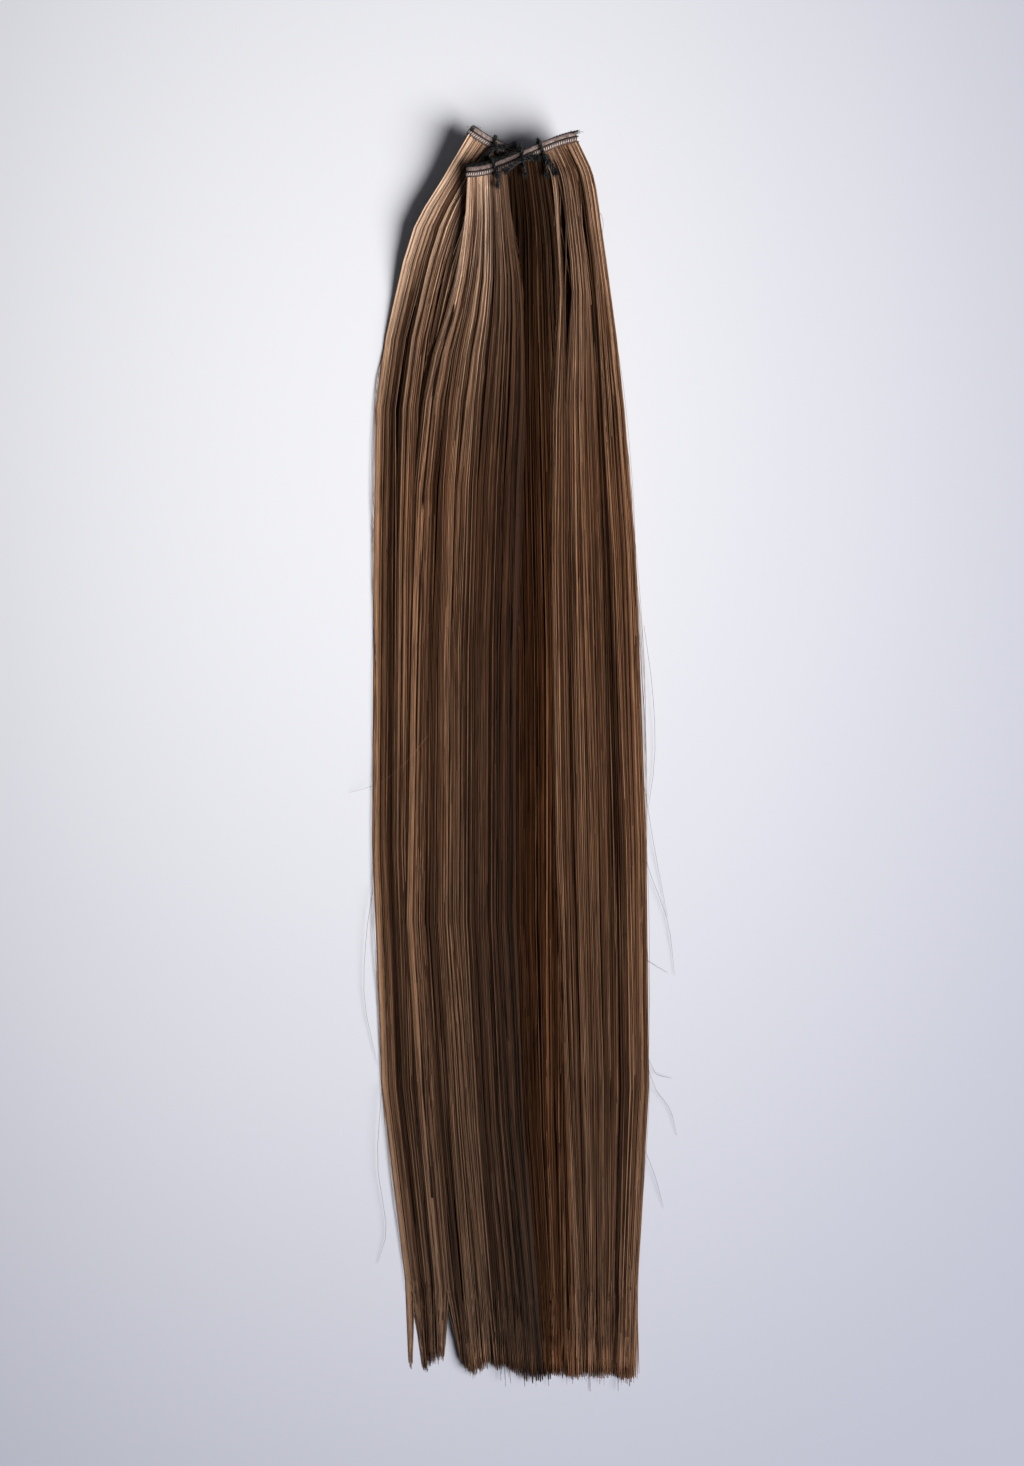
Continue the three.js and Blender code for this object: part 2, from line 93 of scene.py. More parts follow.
# Sheets of hair, with lengths in millimetres and places from 0 at their left edge to 1 at their right edge.
# folds: the first and the last fold that they grow from. roots: where their roots begin and end.
# skip: how many stations they skip at the band. sides, beneath: shares of the strands at the two sides and
# underneath. tone, warmth: shade and warmth at places across. partings: place, width and both ends along the
# hair. slopes: widths at the left and the right edge in which they thin out. spill: how far strands spill out
# there. drift: how far strands drift to the right at their tips, at places across.
SHEETS = {
    "hair_under": {
        "folds": (0, 2), "roots": (-16.5, 27), "skip": 0, "slot": "hair_brown",
        "strands": 900, "wisps": 60, "tufts": 14, "sides": 0.34, "beneath": 0.16,
        "tone": [(0, 0.5), (0.5, 0.4), (1, 0.5)],
        "warmth": [(0, 0.5), (1, 0.5)],
        "partings": [],
        "slopes": (12, 3), "spill": (0, 0),
        "drift": [(0, 0), (1, 0)],
    },
    "hair_left": {
        "folds": (3, 3), "roots": (-18.4, 27), "skip": 0, "slot": "hair_light",
        "strands": 1750, "wisps": 150, "tufts": 13, "sides": 0.06, "beneath": 0.03,
        # The lightest tone at the far left edge is partly painted light, the pale edge where light shines
        # through.
        "tone": [(0, 0.88), (0.03, 0.76), (0.1, 0.6), (0.15, 0.46), (0.2, 0.52), (0.28, 0.6),
                 (0.33, 0.38), (0.4, 0.52), (0.5, 0.4), (1, 0.4)],
        "warmth": [(0, 0.4), (0.3, 0.35), (1, 0.4)],
        "partings": [(0.16, 2.0, 225, 90), (0.33, 1.6, 240, 130)],
        "slopes": (16, 0), "spill": (0, 0),
        "drift": [(0, 0), (1, 0)],
    },
    "hair_centre": {
        "folds": (4, 4), "roots": (-17, 27), "skip": 1, "slot": "hair_dark",
        "strands": 1650, "wisps": 150, "tufts": 13, "sides": 0.04, "beneath": 0.03,
        # Its dark tones are partly the hair's own and partly painted shade of the valley between the upper
        # sheets.
        "tone": [(0, 0.3), (0.35, 0.26), (0.42, 0.15), (0.47, 0.1), (0.52, 0.28), (0.58, 0.34),
                 (0.62, 0.2), (0.67, 0.42), (1, 0.45)],
        "warmth": [(0, 0.3), (0.4, 0.3), (0.5, 0.5), (0.62, 0.5), (0.7, 0.3), (1, 0.3)],
        "partings": [],
        "slopes": (0, 0), "spill": (0, 0),
        "drift": [(0, 7), (0.35, 7), (0.6, 4), (0.8, 0), (1, 0)],
    },
    "hair_front_left": {
        "folds": (5, 5), "roots": (-19.0, -1.5), "skip": 1, "slot": "hair_light",
        "strands": 1750, "wisps": 130, "tufts": 12, "sides": 0.06, "beneath": 0.03,
        "tone": [(0, 0.72), (0.06, 0.72), (0.12, 0.54), (0.2, 0.34), (0.27, 0.58), (0.34, 0.74), (0.42, 0.74),
                 (0.49, 0.48), (0.55, 0.3), (0.7, 0.24), (0.85, 0.2), (0.95, 0.1), (1, 0.05)],
        "warmth": [(0, 0.3), (0.2, 0.4), (0.4, 0.4), (0.6, 0.1), (1, 0.3)],
        "partings": [(0.2, 1.4, 200, 60), (0.6, 1.6, 236, 120)],
        "slopes": (14, 6), "spill": (3, 2),
        "drift": [(0, 0), (0.5, 0), (0.75, 4), (1, 5)],
    },
    "hair_front_right": {
        "folds": (5, 5), "roots": (14.5, 30.8), "skip": 0, "slot": "hair_brown",
        "strands": 1750, "wisps": 130, "tufts": 12, "sides": 0.06, "beneath": 0.03,
        "tone": [(0, 0.5), (0.08, 0.52), (0.14, 0.24), (0.2, 0.5), (0.36, 0.53), (0.5, 0.42), (0.62, 0.38),
                 (0.7, 0.32), (0.78, 0.44), (0.9, 0.42), (1, 0.54)],
        "warmth": [(0, 0.2), (0.5, 0.2), (0.7, 0.4), (1, 0.3)],
        "partings": [(0.16, 3.2, 263, 170), (0.62, 1.6, 270, 200)],
        "slopes": (6, 3), "spill": (4.5, 0),
        "drift": [(0, 0), (1, 0)],
    },
}

# Tying cords in millimetres: the folds that a cord goes round, where it crosses them, how far it leans, how
# far its knot lies from the top fold's middle line, and its loose tails: how many cords lie together in each,
# and steps from the knot.
TIES = {
    "tie_back_left": {
        "folds": (0, 3), "x": -6.2, "lean": -0.1, "knot_y": -0.7,
        "tails": [(2, [(-2.6, -2.4, 0.1), (-5.0, -5.6, -0.3)]), (2, [(2.6, -0.6, 0.6), (7.6, 0.2, 0.4)])],
    },
    "tie_front_left": {
        "folds": (4, 5), "x": -6.5, "lean": -0.36, "knot_y": -3.6,
        "tails": [(1, [(0.3, -2.2, 0.2), (-0.2, -4.4, -0.2)])],
    },
    "tie_middle": {
        "folds": (0, 5), "x": 6, "lean": -0.15, "knot_y": -1.6,
        "tails": [
            (2, [(-3.2, -1.8, 0.5), (-7.6, -5.2, 1.0)]),
            (1, [(0.4, -3.0, 0.3), (0.6, -6.0, -0.6)]),
            (2, [(2.8, 0.2, 0.5), (5.6, 0.4, 0.6)]),
        ],
    },
    "tie_right": {
        "folds": (0, 5), "x": 14.4, "lean": -0.4, "knot_y": -4.2,
        "tails": [(1, [(0.4, -3.6, 0.2), (0.8, -7.6, -0.8)]), (2, [(2.2, -3.0, 0.9), (4.2, -6.8, 0.6)])],
    },
}
CORD_RADIUS = 0.8 * MM
CORD_CLEARANCE = 0.3 * MM


# Settings


def linear(red, green, blue):
    """A display colour with parts from 0 to 255 as the linear colour that shaders use."""
    parts = np.array([red, green, blue]) / 255
    return tuple(np.where(parts <= 0.04045, parts / 12.92, ((parts + 0.055) / 1.055) ** 2.4).tolist())


def distance(name, description, default):
    """A length that a user may change."""
    return FloatProperty(
        name=name, description=description, default=default, min=0, precision=5, unit="LENGTH"
    )


def share(name, description, default):
    """A number from 0 to 1 that a user may change."""
    return FloatProperty(
        name=name, description=description, default=default, min=0, max=1, subtype="FACTOR"
    )


def shade(name, description, default):
    """A colour that a user may change."""
    return FloatVectorProperty(
        name=name, description=description, default=default, min=0, max=1, size=3, subtype="COLOR"
    )


class WeftHairSettings(bpy.types.PropertyGroup):
    """Sizes and colours of the hair."""

    strand_width: distance("Strand width", "Width of one drawn strand of hair", 0.34 * MM)
    core_inset: distance("Core inset", "How far the filling lies inside the sheet", 0.5 * MM)
    depth: distance("Strand depth", "How deep the upper strands lie in their sheet", 0.45 * MM)
    wander: distance("Wander", "How far a wisp of strands strays to its sides", 1.5 * MM)
    tip_scatter: distance("Tip scatter", "Difference in length between strands", 4 * MM)
    clumping: share("Clumping", "How far the strands of a clump draw together at their tips", 0.15)
    seed: IntProperty(name="Seed", description="Start of the random places", default=7, min=0)
    dark: shade("Dark", "Darkest shade of the hair", linear(24, 11, 5))
    mid_ash: shade("Mid ash", "Middle cool shade of the hair", linear(92, 64, 46))
    mid_warm: shade("Mid warm", "Middle warm shade of the hair", linear(100, 60, 35))
    light_ash: shade("Light ash", "Lightest cool shade of the hair", linear(164, 130, 105))
    light_warm: shade("Light warm", "Lightest warm shade of the hair", linear(172, 130, 94))


class WeftBandSettings(bpy.types.PropertyGroup):
    """Sizes and colours of the sewn band."""

    stitch_length: distance("Stitch length", "Length of one stitch along the band", 1.5 * MM)
    thread_width: distance("Thread width", "Width of the dark sewing thread", 0.46 * MM)
    whip_spacing: distance("Whip spacing", "Distance between the light stitches across the band", 1.05 * MM)
    pale: shade("Pale hair", "Light shade of the sewn hair in the band", linear(196, 176, 172))
    deep: shade("Deep hair", "Dark shade of the sewn hair in the band", linear(92, 68, 58))
    thread: shade("Thread", "Colour of the sewing thread", linear(20, 17, 18))
    whip: shade("Whip thread", "Colour of the light stitches", linear(226, 214, 208))


class WeftTieSettings(bpy.types.PropertyGroup):
    """Sizes and colour of the tying cords."""

    ply_radius: distance("Ply radius", "Half the width of one ply of a cord", 0.4 * MM)
    ply_pitch: distance("Ply pitch", "Length of one turn of the plies", 4.6 * MM)
    fibre_width: distance("Fibre width", "Width of one loose fibre", 0.15 * MM)
    black: shade("Cord", "Colour of the cord", linear(12, 12, 14))


class WeftStageSettings(bpy.types.PropertyGroup):
    """Camera, floor and lights."""

    camera_height: distance("Camera height", "Height of the camera above the floor", 1.6)
    picture_height: distance("Picture height", "Length of floor from the picture's top to its foot", 0.667)
    floor_side: distance("Floor side", "Side of the floor", 40.0)
    floor: shade("Floor", "Colour of the floor", linear(243, 244, 250))


# Curves and frames in arrays

FINE_STEPS = 24  # for each control point, where a curve is measured
STEEP = 0.9  # upright share of a direction that is too steep to measure from straight up


def smooth_curve(points, places):
    """Points on smooth curves through rows of control points, at row numbers with fractions."""
    steps = np.linalg.norm(np.diff(points, axis=-2), axis=-1)
    reach = np.concatenate([np.zeros_like(steps[..., :1]), np.cumsum(steps, axis=-1)], axis=-1)[..., None]

    def slope(start, end):
        return (points[..., end, :] - points[..., start, :]) / (reach[..., end, :] - reach[..., start, :])

    slopes = np.empty_like(points)
    slopes[..., 1:-1, :] = slope(slice(None, -2), slice(2, None))
    slopes[..., 0, :] = slope(0, 1)
    slopes[..., -1, :] = slope(-2, -1)
    first = np.minimum(places.astype(int), points.shape[-2] - 2)
    t = (places - first)[:, None]
    span = reach[..., first + 1, :] - reach[..., first, :]
    return (
        (2 * t**3 - 3 * t**2 + 1) * points[..., first, :]
        + (t**3 - 2 * t**2 + t) * span * slopes[..., first, :]
        + (3 * t**2 - 2 * t**3) * points[..., first + 1, :]
        + (t**3 - t**2) * span * slopes[..., first + 1, :]
    )


def lengths_along(path):
    """How far along a path each of its points lies."""
    return np.concatenate([[0], np.cumsum(np.linalg.norm(np.diff(path, axis=0), axis=1))])


def evenly_spaced(points, step):
    """A smooth path through points with steps of about one length."""
    fine = smooth_curve(points, np.linspace(0, len(points) - 1, FINE_STEPS * len(points)))
    reach = lengths_along(fine)
    count = max(4, int(round(reach[-1] / step)))
    wanted = np.linspace(0, reach[-1], count + 1)
    return np.stack([np.interp(wanted, reach, fine[:, axis]) for axis in range(3)], axis=1)


def unit(vectors):
    """Vectors of length one."""
    return vectors / np.maximum(np.linalg.norm(vectors, axis=-1, keepdims=True), 1e-12)


def sides_along(path):
    """Two directions across a path at each of its points, which don't twist."""
    along = unit(np.gradient(path, axis=0))
    steep = abs(along[0, 2]) >= STEEP
    side = np.array([1, 0, 0]) if steep else UP
    sides = np.empty_like(path)
    for i, direction in enumerate(along):
        side = unit(side - direction * np.dot(side, direction))
        sides[i] = side
    return sides, np.cross(along, sides)


def raised(points, lowest):
    """Points with none of them lower than a height."""
    return np.maximum(points, [-np.inf, -np.inf, lowest])


def from_table(table, places):
    """Values between the rows of a short table."""
    table = np.array(table)
    return np.interp(places, table[:, 0], table[:, 1])


def eased(part):
    """A share from 0 to 1 with soft ends."""
    part = np.clip(part, 0, 1)
    return part * part * (3 - 2 * part)


# Nodes


def fill_sockets(tree, node, inputs):
    """Links a node's inputs to sockets, or sets them to plain values."""
    for name, value in inputs.items():
        if isinstance(value, bpy.types.NodeSocket):
            tree.links.new(value, node.inputs[name])
        else:
            node.inputs[name].default_value = value


def add_node(tree, kind, inputs=None, **settings):
    """A node with its settings, its linked sockets and its plain values."""
    node = tree.nodes.new(kind)
    for name, value in settings.items():
        setattr(node, name, value)
    fill_sockets(tree, node, inputs or {})
    return node


def math_node(tree, operation, first, second=0.0, third=0.0, clamp=False):
    """The result of a sum on sockets or numbers."""
    inputs = {0: first, 1: second, 2: third}
    return add_node(tree, "ShaderNodeMath", inputs, operation=operation, use_clamp=clamp).outputs[0]


def product(tree, first, *others):
    """Sockets or numbers multiplied."""
    for other in others:
        first = math_node(tree, "MULTIPLY", first, other)
    return first


def map_range(tree, value, start, end, low=0.0, high=1.0, **settings):
    """A value that goes from low to high as another goes from start to end."""
    inputs = {"Value": value, "From Min": start, "From Max": end, "To Min": low, "To Max": high}
    return add_node(tree, "ShaderNodeMapRange", inputs, **settings).outputs[0]


def mix_colours(tree, factor, first, second, blend="MIX"):
    """Two colours mixed by a factor."""
    inputs = {0: factor, 6: first, 7: second}
    return add_node(tree, "ShaderNodeMix", inputs, data_type="RGBA", blend_type=blend).outputs[2]


def noise(tree, place, scale, detail):
    """Soft random values at places."""
    inputs = {"Vector": place, "Scale": scale, "Detail": detail}
    return add_node(tree, "ShaderNodeTexNoise", inputs).outputs["Fac"]


def attribute(tree, name):
    """The value of an attribute of the piece."""
    return add_node(tree, "ShaderNodeAttribute", attribute_name=name).outputs["Fac"]


def object_place(tree):
    """Places in the piece's own coordinates."""
    return add_node(tree, "ShaderNodeTexCoord").outputs["Object"]


def new_material(name):
    """A material, its node tree and its shader."""
    material = bpy.data.materials.new(name)
    material.use_nodes = True
    return material, material.node_tree, material.node_tree.nodes["Principled BSDF"]


def new_tree(name, kind, inputs, outputs):
    """A node group with named sockets, and its group input and output."""
    tree = bpy.data.node_groups.new(name, kind)
    for way, sockets in (("INPUT", inputs), ("OUTPUT", outputs)):
        for socket, socket_type in sockets.items():
            tree.interface.new_socket(socket, in_out=way, socket_type=f"NodeSocket{socket_type}")
    return tree, tree.nodes.new("NodeGroupInput"), tree.nodes.new("NodeGroupOutput")


def end_tree(tree, geometry, given, made):
    """Ends a geometry tree: real meshes in the material that was given."""
    real = add_node(tree, "GeometryNodeRealizeInstances", {"Geometry": geometry})
    finish = add_node(tree, "GeometryNodeSetMaterial", {
        "Geometry": real.outputs["Geometry"],
        "Material": given.outputs["Material"],
    })
    tree.links.new(finish.outputs["Geometry"], made.inputs[0])


def tube_tree():
    """Tubes along the edges of guides, joined with a core."""
    name = "Tubes along guides"
    if name in bpy.data.node_groups:
        return bpy.data.node_groups[name]
    inputs = {"Guides": "Geometry", "Core": "Object", "Sides": "Int", "Material": "Material"}
    tree, given, made = new_tree(name, "GeometryNodeTree", inputs, {"Tubes": "Geometry"})
    curves = add_node(tree, "GeometryNodeMeshToCurve", {"Mesh": given.outputs["Guides"]})
    profile = add_node(tree, "GeometryNodeCurvePrimitiveCircle", {
        "Resolution": given.outputs["Sides"],
        "Radius": 1.0,
    })
    radius = add_node(tree, "GeometryNodeInputNamedAttribute", {"Name": "radius"}, data_type="FLOAT")
    tubes = add_node(tree, "GeometryNodeCurveToMesh", {
        "Curve": curves.outputs["Curve"],
        "Profile Curve": profile.outputs["Curve"],
        "Scale": radius.outputs["Attribute"],
        "Fill Caps": True,
    })
    smooth = add_node(tree, "GeometryNodeSetShadeSmooth", {"Geometry": tubes.outputs["Mesh"]})
    core = add_node(tree, "GeometryNodeObjectInfo", {"Object": given.outputs["Core"]})
    join = add_node(tree, "GeometryNodeJoinGeometry")
    tree.links.new(core.outputs["Geometry"], join.inputs["Geometry"])
    tree.links.new(smooth.outputs["Geometry"], join.inputs["Geometry"])
    end_tree(tree, join.outputs["Geometry"], given, made)
    return tree


def stitch_tree():
    """Stitches set along rows, each lying the way that its row says."""
    name = "Stitches along rows"
    if name in bpy.data.node_groups:
        return bpy.data.node_groups[name]
    inputs = {"Rows": "Geometry", "Spacing": "Float", "Size": "Vector", "Material": "Material"}
    tree, given, made = new_tree(name, "GeometryNodeTree", inputs, {"Stitches": "Geometry"})
    curves = add_node(tree, "GeometryNodeMeshToCurve", {"Mesh": given.outputs["Rows"]})
    spacing = {"Curve": curves.outputs["Curve"], "Length": given.outputs["Spacing"]}
    points = add_node(tree, "GeometryNodeCurveToPoints", spacing, mode="LENGTH")
    lay = add_node(tree, "GeometryNodeInputNamedAttribute", {"Name": "lay"}, data_type="FLOAT_VECTOR")
    turn = add_node(tree, "FunctionNodeAlignRotationToVector", {"Vector": lay.outputs["Attribute"]}, axis="Z")
    bead = add_node(tree, "GeometryNodeMeshUVSphere", {"Segments": 6, "Rings": 4, "Radius": 0.5})
    smooth = add_node(tree, "GeometryNodeSetShadeSmooth", {"Geometry": bead.outputs["Mesh"]})
    placed = add_node(tree, "GeometryNodeInstanceOnPoints", {
        "Points": points.outputs["Points"],
        "Instance": smooth.outputs["Geometry"],
        "Rotation": turn.outputs["Rotation"],
        "Scale": given.outputs["Size"],
    })
    end_tree(tree, placed.outputs["Instances"], given, made)
    return tree


def made_by(tree, name, mesh, values):
    """A plain mesh object with what a Geometry Nodes tree makes of a mesh, which is then removed."""
    source = bpy.data.objects.new(f"{name}_source", mesh)
    bpy.context.scene.collection.objects.link(source)
    modifier = source.modifiers.new("Build", "NODES")
    modifier.node_group = tree
    for socket, value in values.items():
        modifier[tree.interface.items_tree[socket].identifier] = value
    depsgraph = bpy.context.evaluated_depsgraph_get()
    result = bpy.data.meshes.new_from_object(source.evaluated_get(depsgraph), depsgraph=depsgraph)
    result.name = name
    source.modifiers.remove(modifier)
    bpy.data.objects.remove(source)
    bpy.data.meshes.remove(mesh)
    if not result.polygons:
        raise RuntimeError(f"{name} came out empty")
    result.materials.clear()
    result.materials.append(values["Material"])
    result.polygons.foreach_set("material_index", np.zeros(len(result.polygons), np.int32))
    return new_object(name, result)


# Meshes from arrays


def new_object(name, data):
    """An object in the scene."""
    made = bpy.data.objects.new(name, data)
    bpy.context.scene.collection.objects.link(made)
    return made


def set_attribute(mesh, name, values, kind="FLOAT"):
    """Stores one value or vector for each vertex."""
    layer = mesh.attributes.new(name, kind, "POINT")
    field = "vector" if kind == "FLOAT_VECTOR" else "value"
    layer.data.foreach_set(field, np.asarray(values, np.float32).ravel())


def repeated(values, count):
    """One value for each path, repeated at each of its points."""
    return list(np.repeat(values[:, None], count, axis=1))


def guide_mesh(name, paths, radii, **values):
    """Loose edges along paths, with a radius and other values at each point."""
    counts = [len(path) for path in paths]
    starts = np.concatenate([[0], np.cumsum(counts)[:-1]])
    edges = np.concatenate([
        np.stack([np.arange(start, start + count - 1), np.arange(start + 1, start + count)], axis=1)
        for start, count in zip(starts, counts)
    ])
    mesh = bpy.data.meshes.new(name)
    points = np.concatenate(paths)
    mesh.vertices.add(len(points))
    mesh.vertices.foreach_set("co", points.astype(np.float32).ravel())
    mesh.edges.add(len(edges))
    mesh.edges.foreach_set("vertices", edges.astype(np.int32).ravel())
    set_attribute(mesh, "radius", np.concatenate(radii))
    for key, value in values.items():
        kind = "FLOAT_VECTOR" if np.ndim(value[0]) == 2 else "FLOAT"
        set_attribute(mesh, key, np.concatenate(value), kind)
    mesh.update()
    return mesh


def read_attribute(mesh, name):
    """A value for each vertex."""
    values = np.zeros(len(mesh.vertices), np.float32)
    mesh.attributes[name].data.foreach_get("value", values)
    return values


def map_by_vertex(mesh, across, along):
    """A map of the piece from a place across and along it at each vertex."""
    layer = mesh.uv_layers.new(name="OFBake")
    corners = np.zeros(len(mesh.loops), np.int32)
    mesh.loops.foreach_get("vertex_index", corners)
    places = np.stack([across[corners], along[corners]], axis=1)
    layer.data.foreach_set("uv", places.astype(np.float32).ravel())


def finish_piece(piece, slot, *nodes):
    """Rides a finished piece on the part, in place of CAD nodes. The slot is not used."""
    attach(piece, "root")
    if nodes:
        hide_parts(*nodes)


# The band's course


def fold_y(fold, x):
    """Place of a fold along the hair: the smooth curve through its two ends and two places between them."""
    xs = (LEFT_X[fold], INNER_X, MIDDLE_X, RIGHT_X[fold])
    total = np.zeros_like(x, dtype=float)
    for i, y in enumerate((LEFT_Y[fold], INNER_Y[fold], MIDDLE_Y[fold], RIGHT_Y[fold])):
        weight = 1.0
        for j, other in enumerate(xs):
            if j != i:
                weight = weight * (x - other) / (xs[i] - other)
        total = total + y * weight
    return total


def fold_z(fold, x):
    """Height of a fold: level at the middle, where the cords hold it, and bending towards its ends."""
    end_x = np.where(x < MIDDLE_X, LEFT_X[fold], RIGHT_X[fold])
    end_z = np.where(x < MIDDLE_X, LEFT_Z[fold], RIGHT_Z[fold])
    middle = MIDDLE_Z + fold * MIDDLE_PITCH
    return middle + (end_z - middle) * ((x - MIDDLE_X) / (end_x - MIDDLE_X)) ** 2


def fold_direction(fold, x):
    """Direction along a fold towards the right, in plan."""
    reach = 0.5 * MM
    rise = fold_y(fold, x + reach) - fold_y(fold, x - reach)
    return unit(np.stack([np.full_like(rise, 2 * reach), rise, np.zeros_like(rise)], axis=-1))


def fold_points(fold, x):
    """Points on a fold's middle line."""
    return np.stack([x, fold_y(fold, x), fold_z(fold, x)], axis=-1)


def band_course(fold_steps=64, turn_steps=14):
    """The whole folded strip: places, the way it travels, the way up it and the way out of its face."""
    places, travels, ups = [], [], []
    for fold in range(len(FOLDS)):
        rightward = fold % 2 == 1
        x = np.linspace(LEFT_X[fold], RIGHT_X[fold], fold_steps + 1)
        x = x if rightward else x[::-1]
        direction = fold_direction(fold, x)
        places.append(fold_points(fold, x))
        travels.append(direction if rightward else -direction)
        ups.append(np.stack([-direction[:, 1], direction[:, 0], np.zeros(len(x))], axis=1))
        if fold == TOP_FOLD:
            break
        end_x = x[-1:]
        here = fold_direction(fold, end_x)
        following = fold_direction(fold + 1, end_x)
        outward = unit(here + following) * (1 if rightward else -1)
        start = fold_points(fold, end_x)
        end = fold_points(fold + 1, end_x)
        t = np.arange(1, turn_steps)[:, None] / turn_steps
        turn = t * np.pi
        radius = (end[0, 2] - start[0, 2]) / 2
        place = start + (end - start) * t + outward * radius * np.sin(turn)
        place[:, 2:] = start[0, 2] + (end[0, 2] - start[0, 2]) * (1 - np.cos(turn)) / 2
        travel = outward * np.cos(turn)
        travel[:, 2:] = np.sin(turn)
        lean = unit(here + (following - here) * t)
        places.append(place)
        travels.append(travel)
        ups.append(np.stack([-lean[:, 1], lean[:, 0], np.zeros(len(t))], axis=1))
    place, travel, up = (np.concatenate(part) for part in (places, travels, ups))
    return place, travel, up, unit(np.cross(travel, up))


# Colours of the hair

HAIR_COLOURS = ("Dark", "Mid ash", "Mid warm", "Light ash", "Light warm")

# Painted light along the hair: a painted highlight with a whitish painted sheen tint on the roots of light
# and brown hair, and painted shade on the dark hair's roots; how far along the hair it reaches; and painted
# shade towards the tips.
HAIR_LOOKS = {
    "hair_brown": {"Painted root light": 1.45, "Root end": 0.22, "Painted root sheen tint": 1.14, "Painted tip shade": 0.57},
    "hair_light": {"Painted root light": 2.05, "Root end": 0.24, "Painted root sheen tint": 1.24, "Painted tip shade": 0.42},
    "hair_dark": {"Painted root light": 0.35, "Root end": 0.5, "Painted root sheen tint": 1.1, "Painted tip shade": 0.7},
}
HAIR_SHEENS = {"hair_brown": 0.07, "hair_light": 0.1, "hair_dark": 0.01}
HAIR_SHEEN_TINT = (1.0, 0.9, 0.8, 1)

# How the hair changes from the band at 0 to the tips at 1: two places, and the values there where all hair
# has the same ones.
ASHEN_TIPS = (0.6, 0.9, 1.0, 0.2)  # warmth
# painted light on the cut ends, lifting the shade that falls there
PAINTED_END_LIGHT = (0.965, 1.0, 1.0, 2.2)  # brightness of the cut ends
# painted shade towards the tips, where the light falls off, partly the hair's own darker tips
TIP_SHADING = (0.24, 1.0)  # brightness towards the tips
# painted sheen tint at the roots, going over to the hair's warm tint
ROOT_SHEEN_TINT_RUN = (0.08, 0.28)  # tint
WARM_TINT = 0.94  # green for each part of red, and blue for each part of green, past the roots
ROOT_START = 0.05

# The same by random values, and by shade.
STRAND_NOISE = (40.0, 30.0, 36.0)  # how fast the random values change with shade, warmth and length
UNEVEN_SHADE = (0.3, 0.7, 0.6, 1.45)
UNEVEN_GLOSS = (0.3, 0.7, 0.36, 0.5)
DULL_DARKS = (0.1, 0.7, 1.6, 1.0)


def hair_tone_group():
    """Colour and roughness of hair from its strands' shade, warmth and length, with painted light and shade
    along the hair.
    """
    name = "Hair tones"
    if name in bpy.data.node_groups:
        return bpy.data.node_groups[name]
    inputs = dict.fromkeys(HAIR_COLOURS, "Color") | dict.fromkeys(HAIR_LOOKS["hair_brown"], "Float")
    tree, given, made = new_tree(name, "ShaderNodeTree", inputs, {"Color": "Color", "Roughness": "Float"})
    look = given.outputs
    tone, warmth, along = (attribute(tree, value) for value in ("tone", "warmth", "along"))
    warm = product(tree, warmth, map_range(tree, along, *ASHEN_TIPS))
    mid = mix_colours(tree, warm, look["Mid ash"], look["Mid warm"])
    light = mix_colours(tree, warm, look["Light ash"], look["Light warm"])
    lower = math_node(tree, "MULTIPLY", tone, 2.0, clamp=True)
    upper = math_node(tree, "MULTIPLY_ADD", tone, 2.0, -1.0, clamp=True)
    hair = mix_colours(tree, upper, mix_colours(tree, lower, look["Dark"], mid), light)
    place = add_node(tree, "ShaderNodeCombineXYZ", {
        axis: product(tree, value, scale)
        for axis, value, scale in zip("XYZ", (tone, warmth, along), STRAND_NOISE)
    })
    random = noise(tree, place.outputs[0], 1.0, 2.0)
    uneven = map_range(tree, random, *UNEVEN_SHADE)
    # Painted highlight on the roots of light and brown hair, painted shade on the dark hair's roots.
    roots = map_range(tree, along, ROOT_START, look["Root end"], look["Painted root light"], 1.0)
    # Painted shade towards the tips, partly the hair's own darker tips.
    tips = map_range(tree, along, *TIP_SHADING, 1.0, look["Painted tip shade"])
    # Painted light on the cut ends.
    ends = map_range(tree, along, *PAINTED_END_LIGHT)
    # Painted sheen tint at the roots, going over to the hair's warm tint past them.
    tint = map_range(tree, along, *ROOT_SHEEN_TINT_RUN, look["Painted root sheen tint"], WARM_TINT)
    red = product(tree, uneven, tips, ends, roots)
    green = product(tree, red, tint)
    blue = product(tree, green, tint)
    level = add_node(tree, "ShaderNodeCombineColor", {"Red": red, "Green": green, "Blue": blue})
    gloss = map_range(tree, random, *UNEVEN_GLOSS)
    fill_sockets(tree, made, {
        "Color": mix_colours(tree, 1.0, hair, level.outputs[0], "MULTIPLY"),
        "Roughness": product(tree, gloss, map_range(tree, tone, *DULL_DARKS)),
    })
    return tree


def hair_material(slot):
    """Straight glossy hair in streaks of ash and warm brown."""
    name = f"{slot}_strands"
    if name in bpy.data.materials:
        return bpy.data.materials[name]
    settings = bpy.context.scene.weft_hair
    material, tree, shader = new_material(name)
    colours = {key: (*getattr(settings, key.lower().replace(" ", "_")), 1) for key in HAIR_COLOURS}
    group = add_node(tree, "ShaderNodeGroup", node_tree=hair_tone_group())
    fill_sockets(tree, group, colours | HAIR_LOOKS[slot])
    fill_sockets(tree, shader, {
        "Base Color": group.outputs["Color"],
        "Roughness": group.outputs["Roughness"],
        "Specular Tint": HAIR_SHEEN_TINT,
        "Specular IOR Level": HAIR_SHEENS[slot],
    })
    return material


# Sheets of hair as the CAD solids hold them

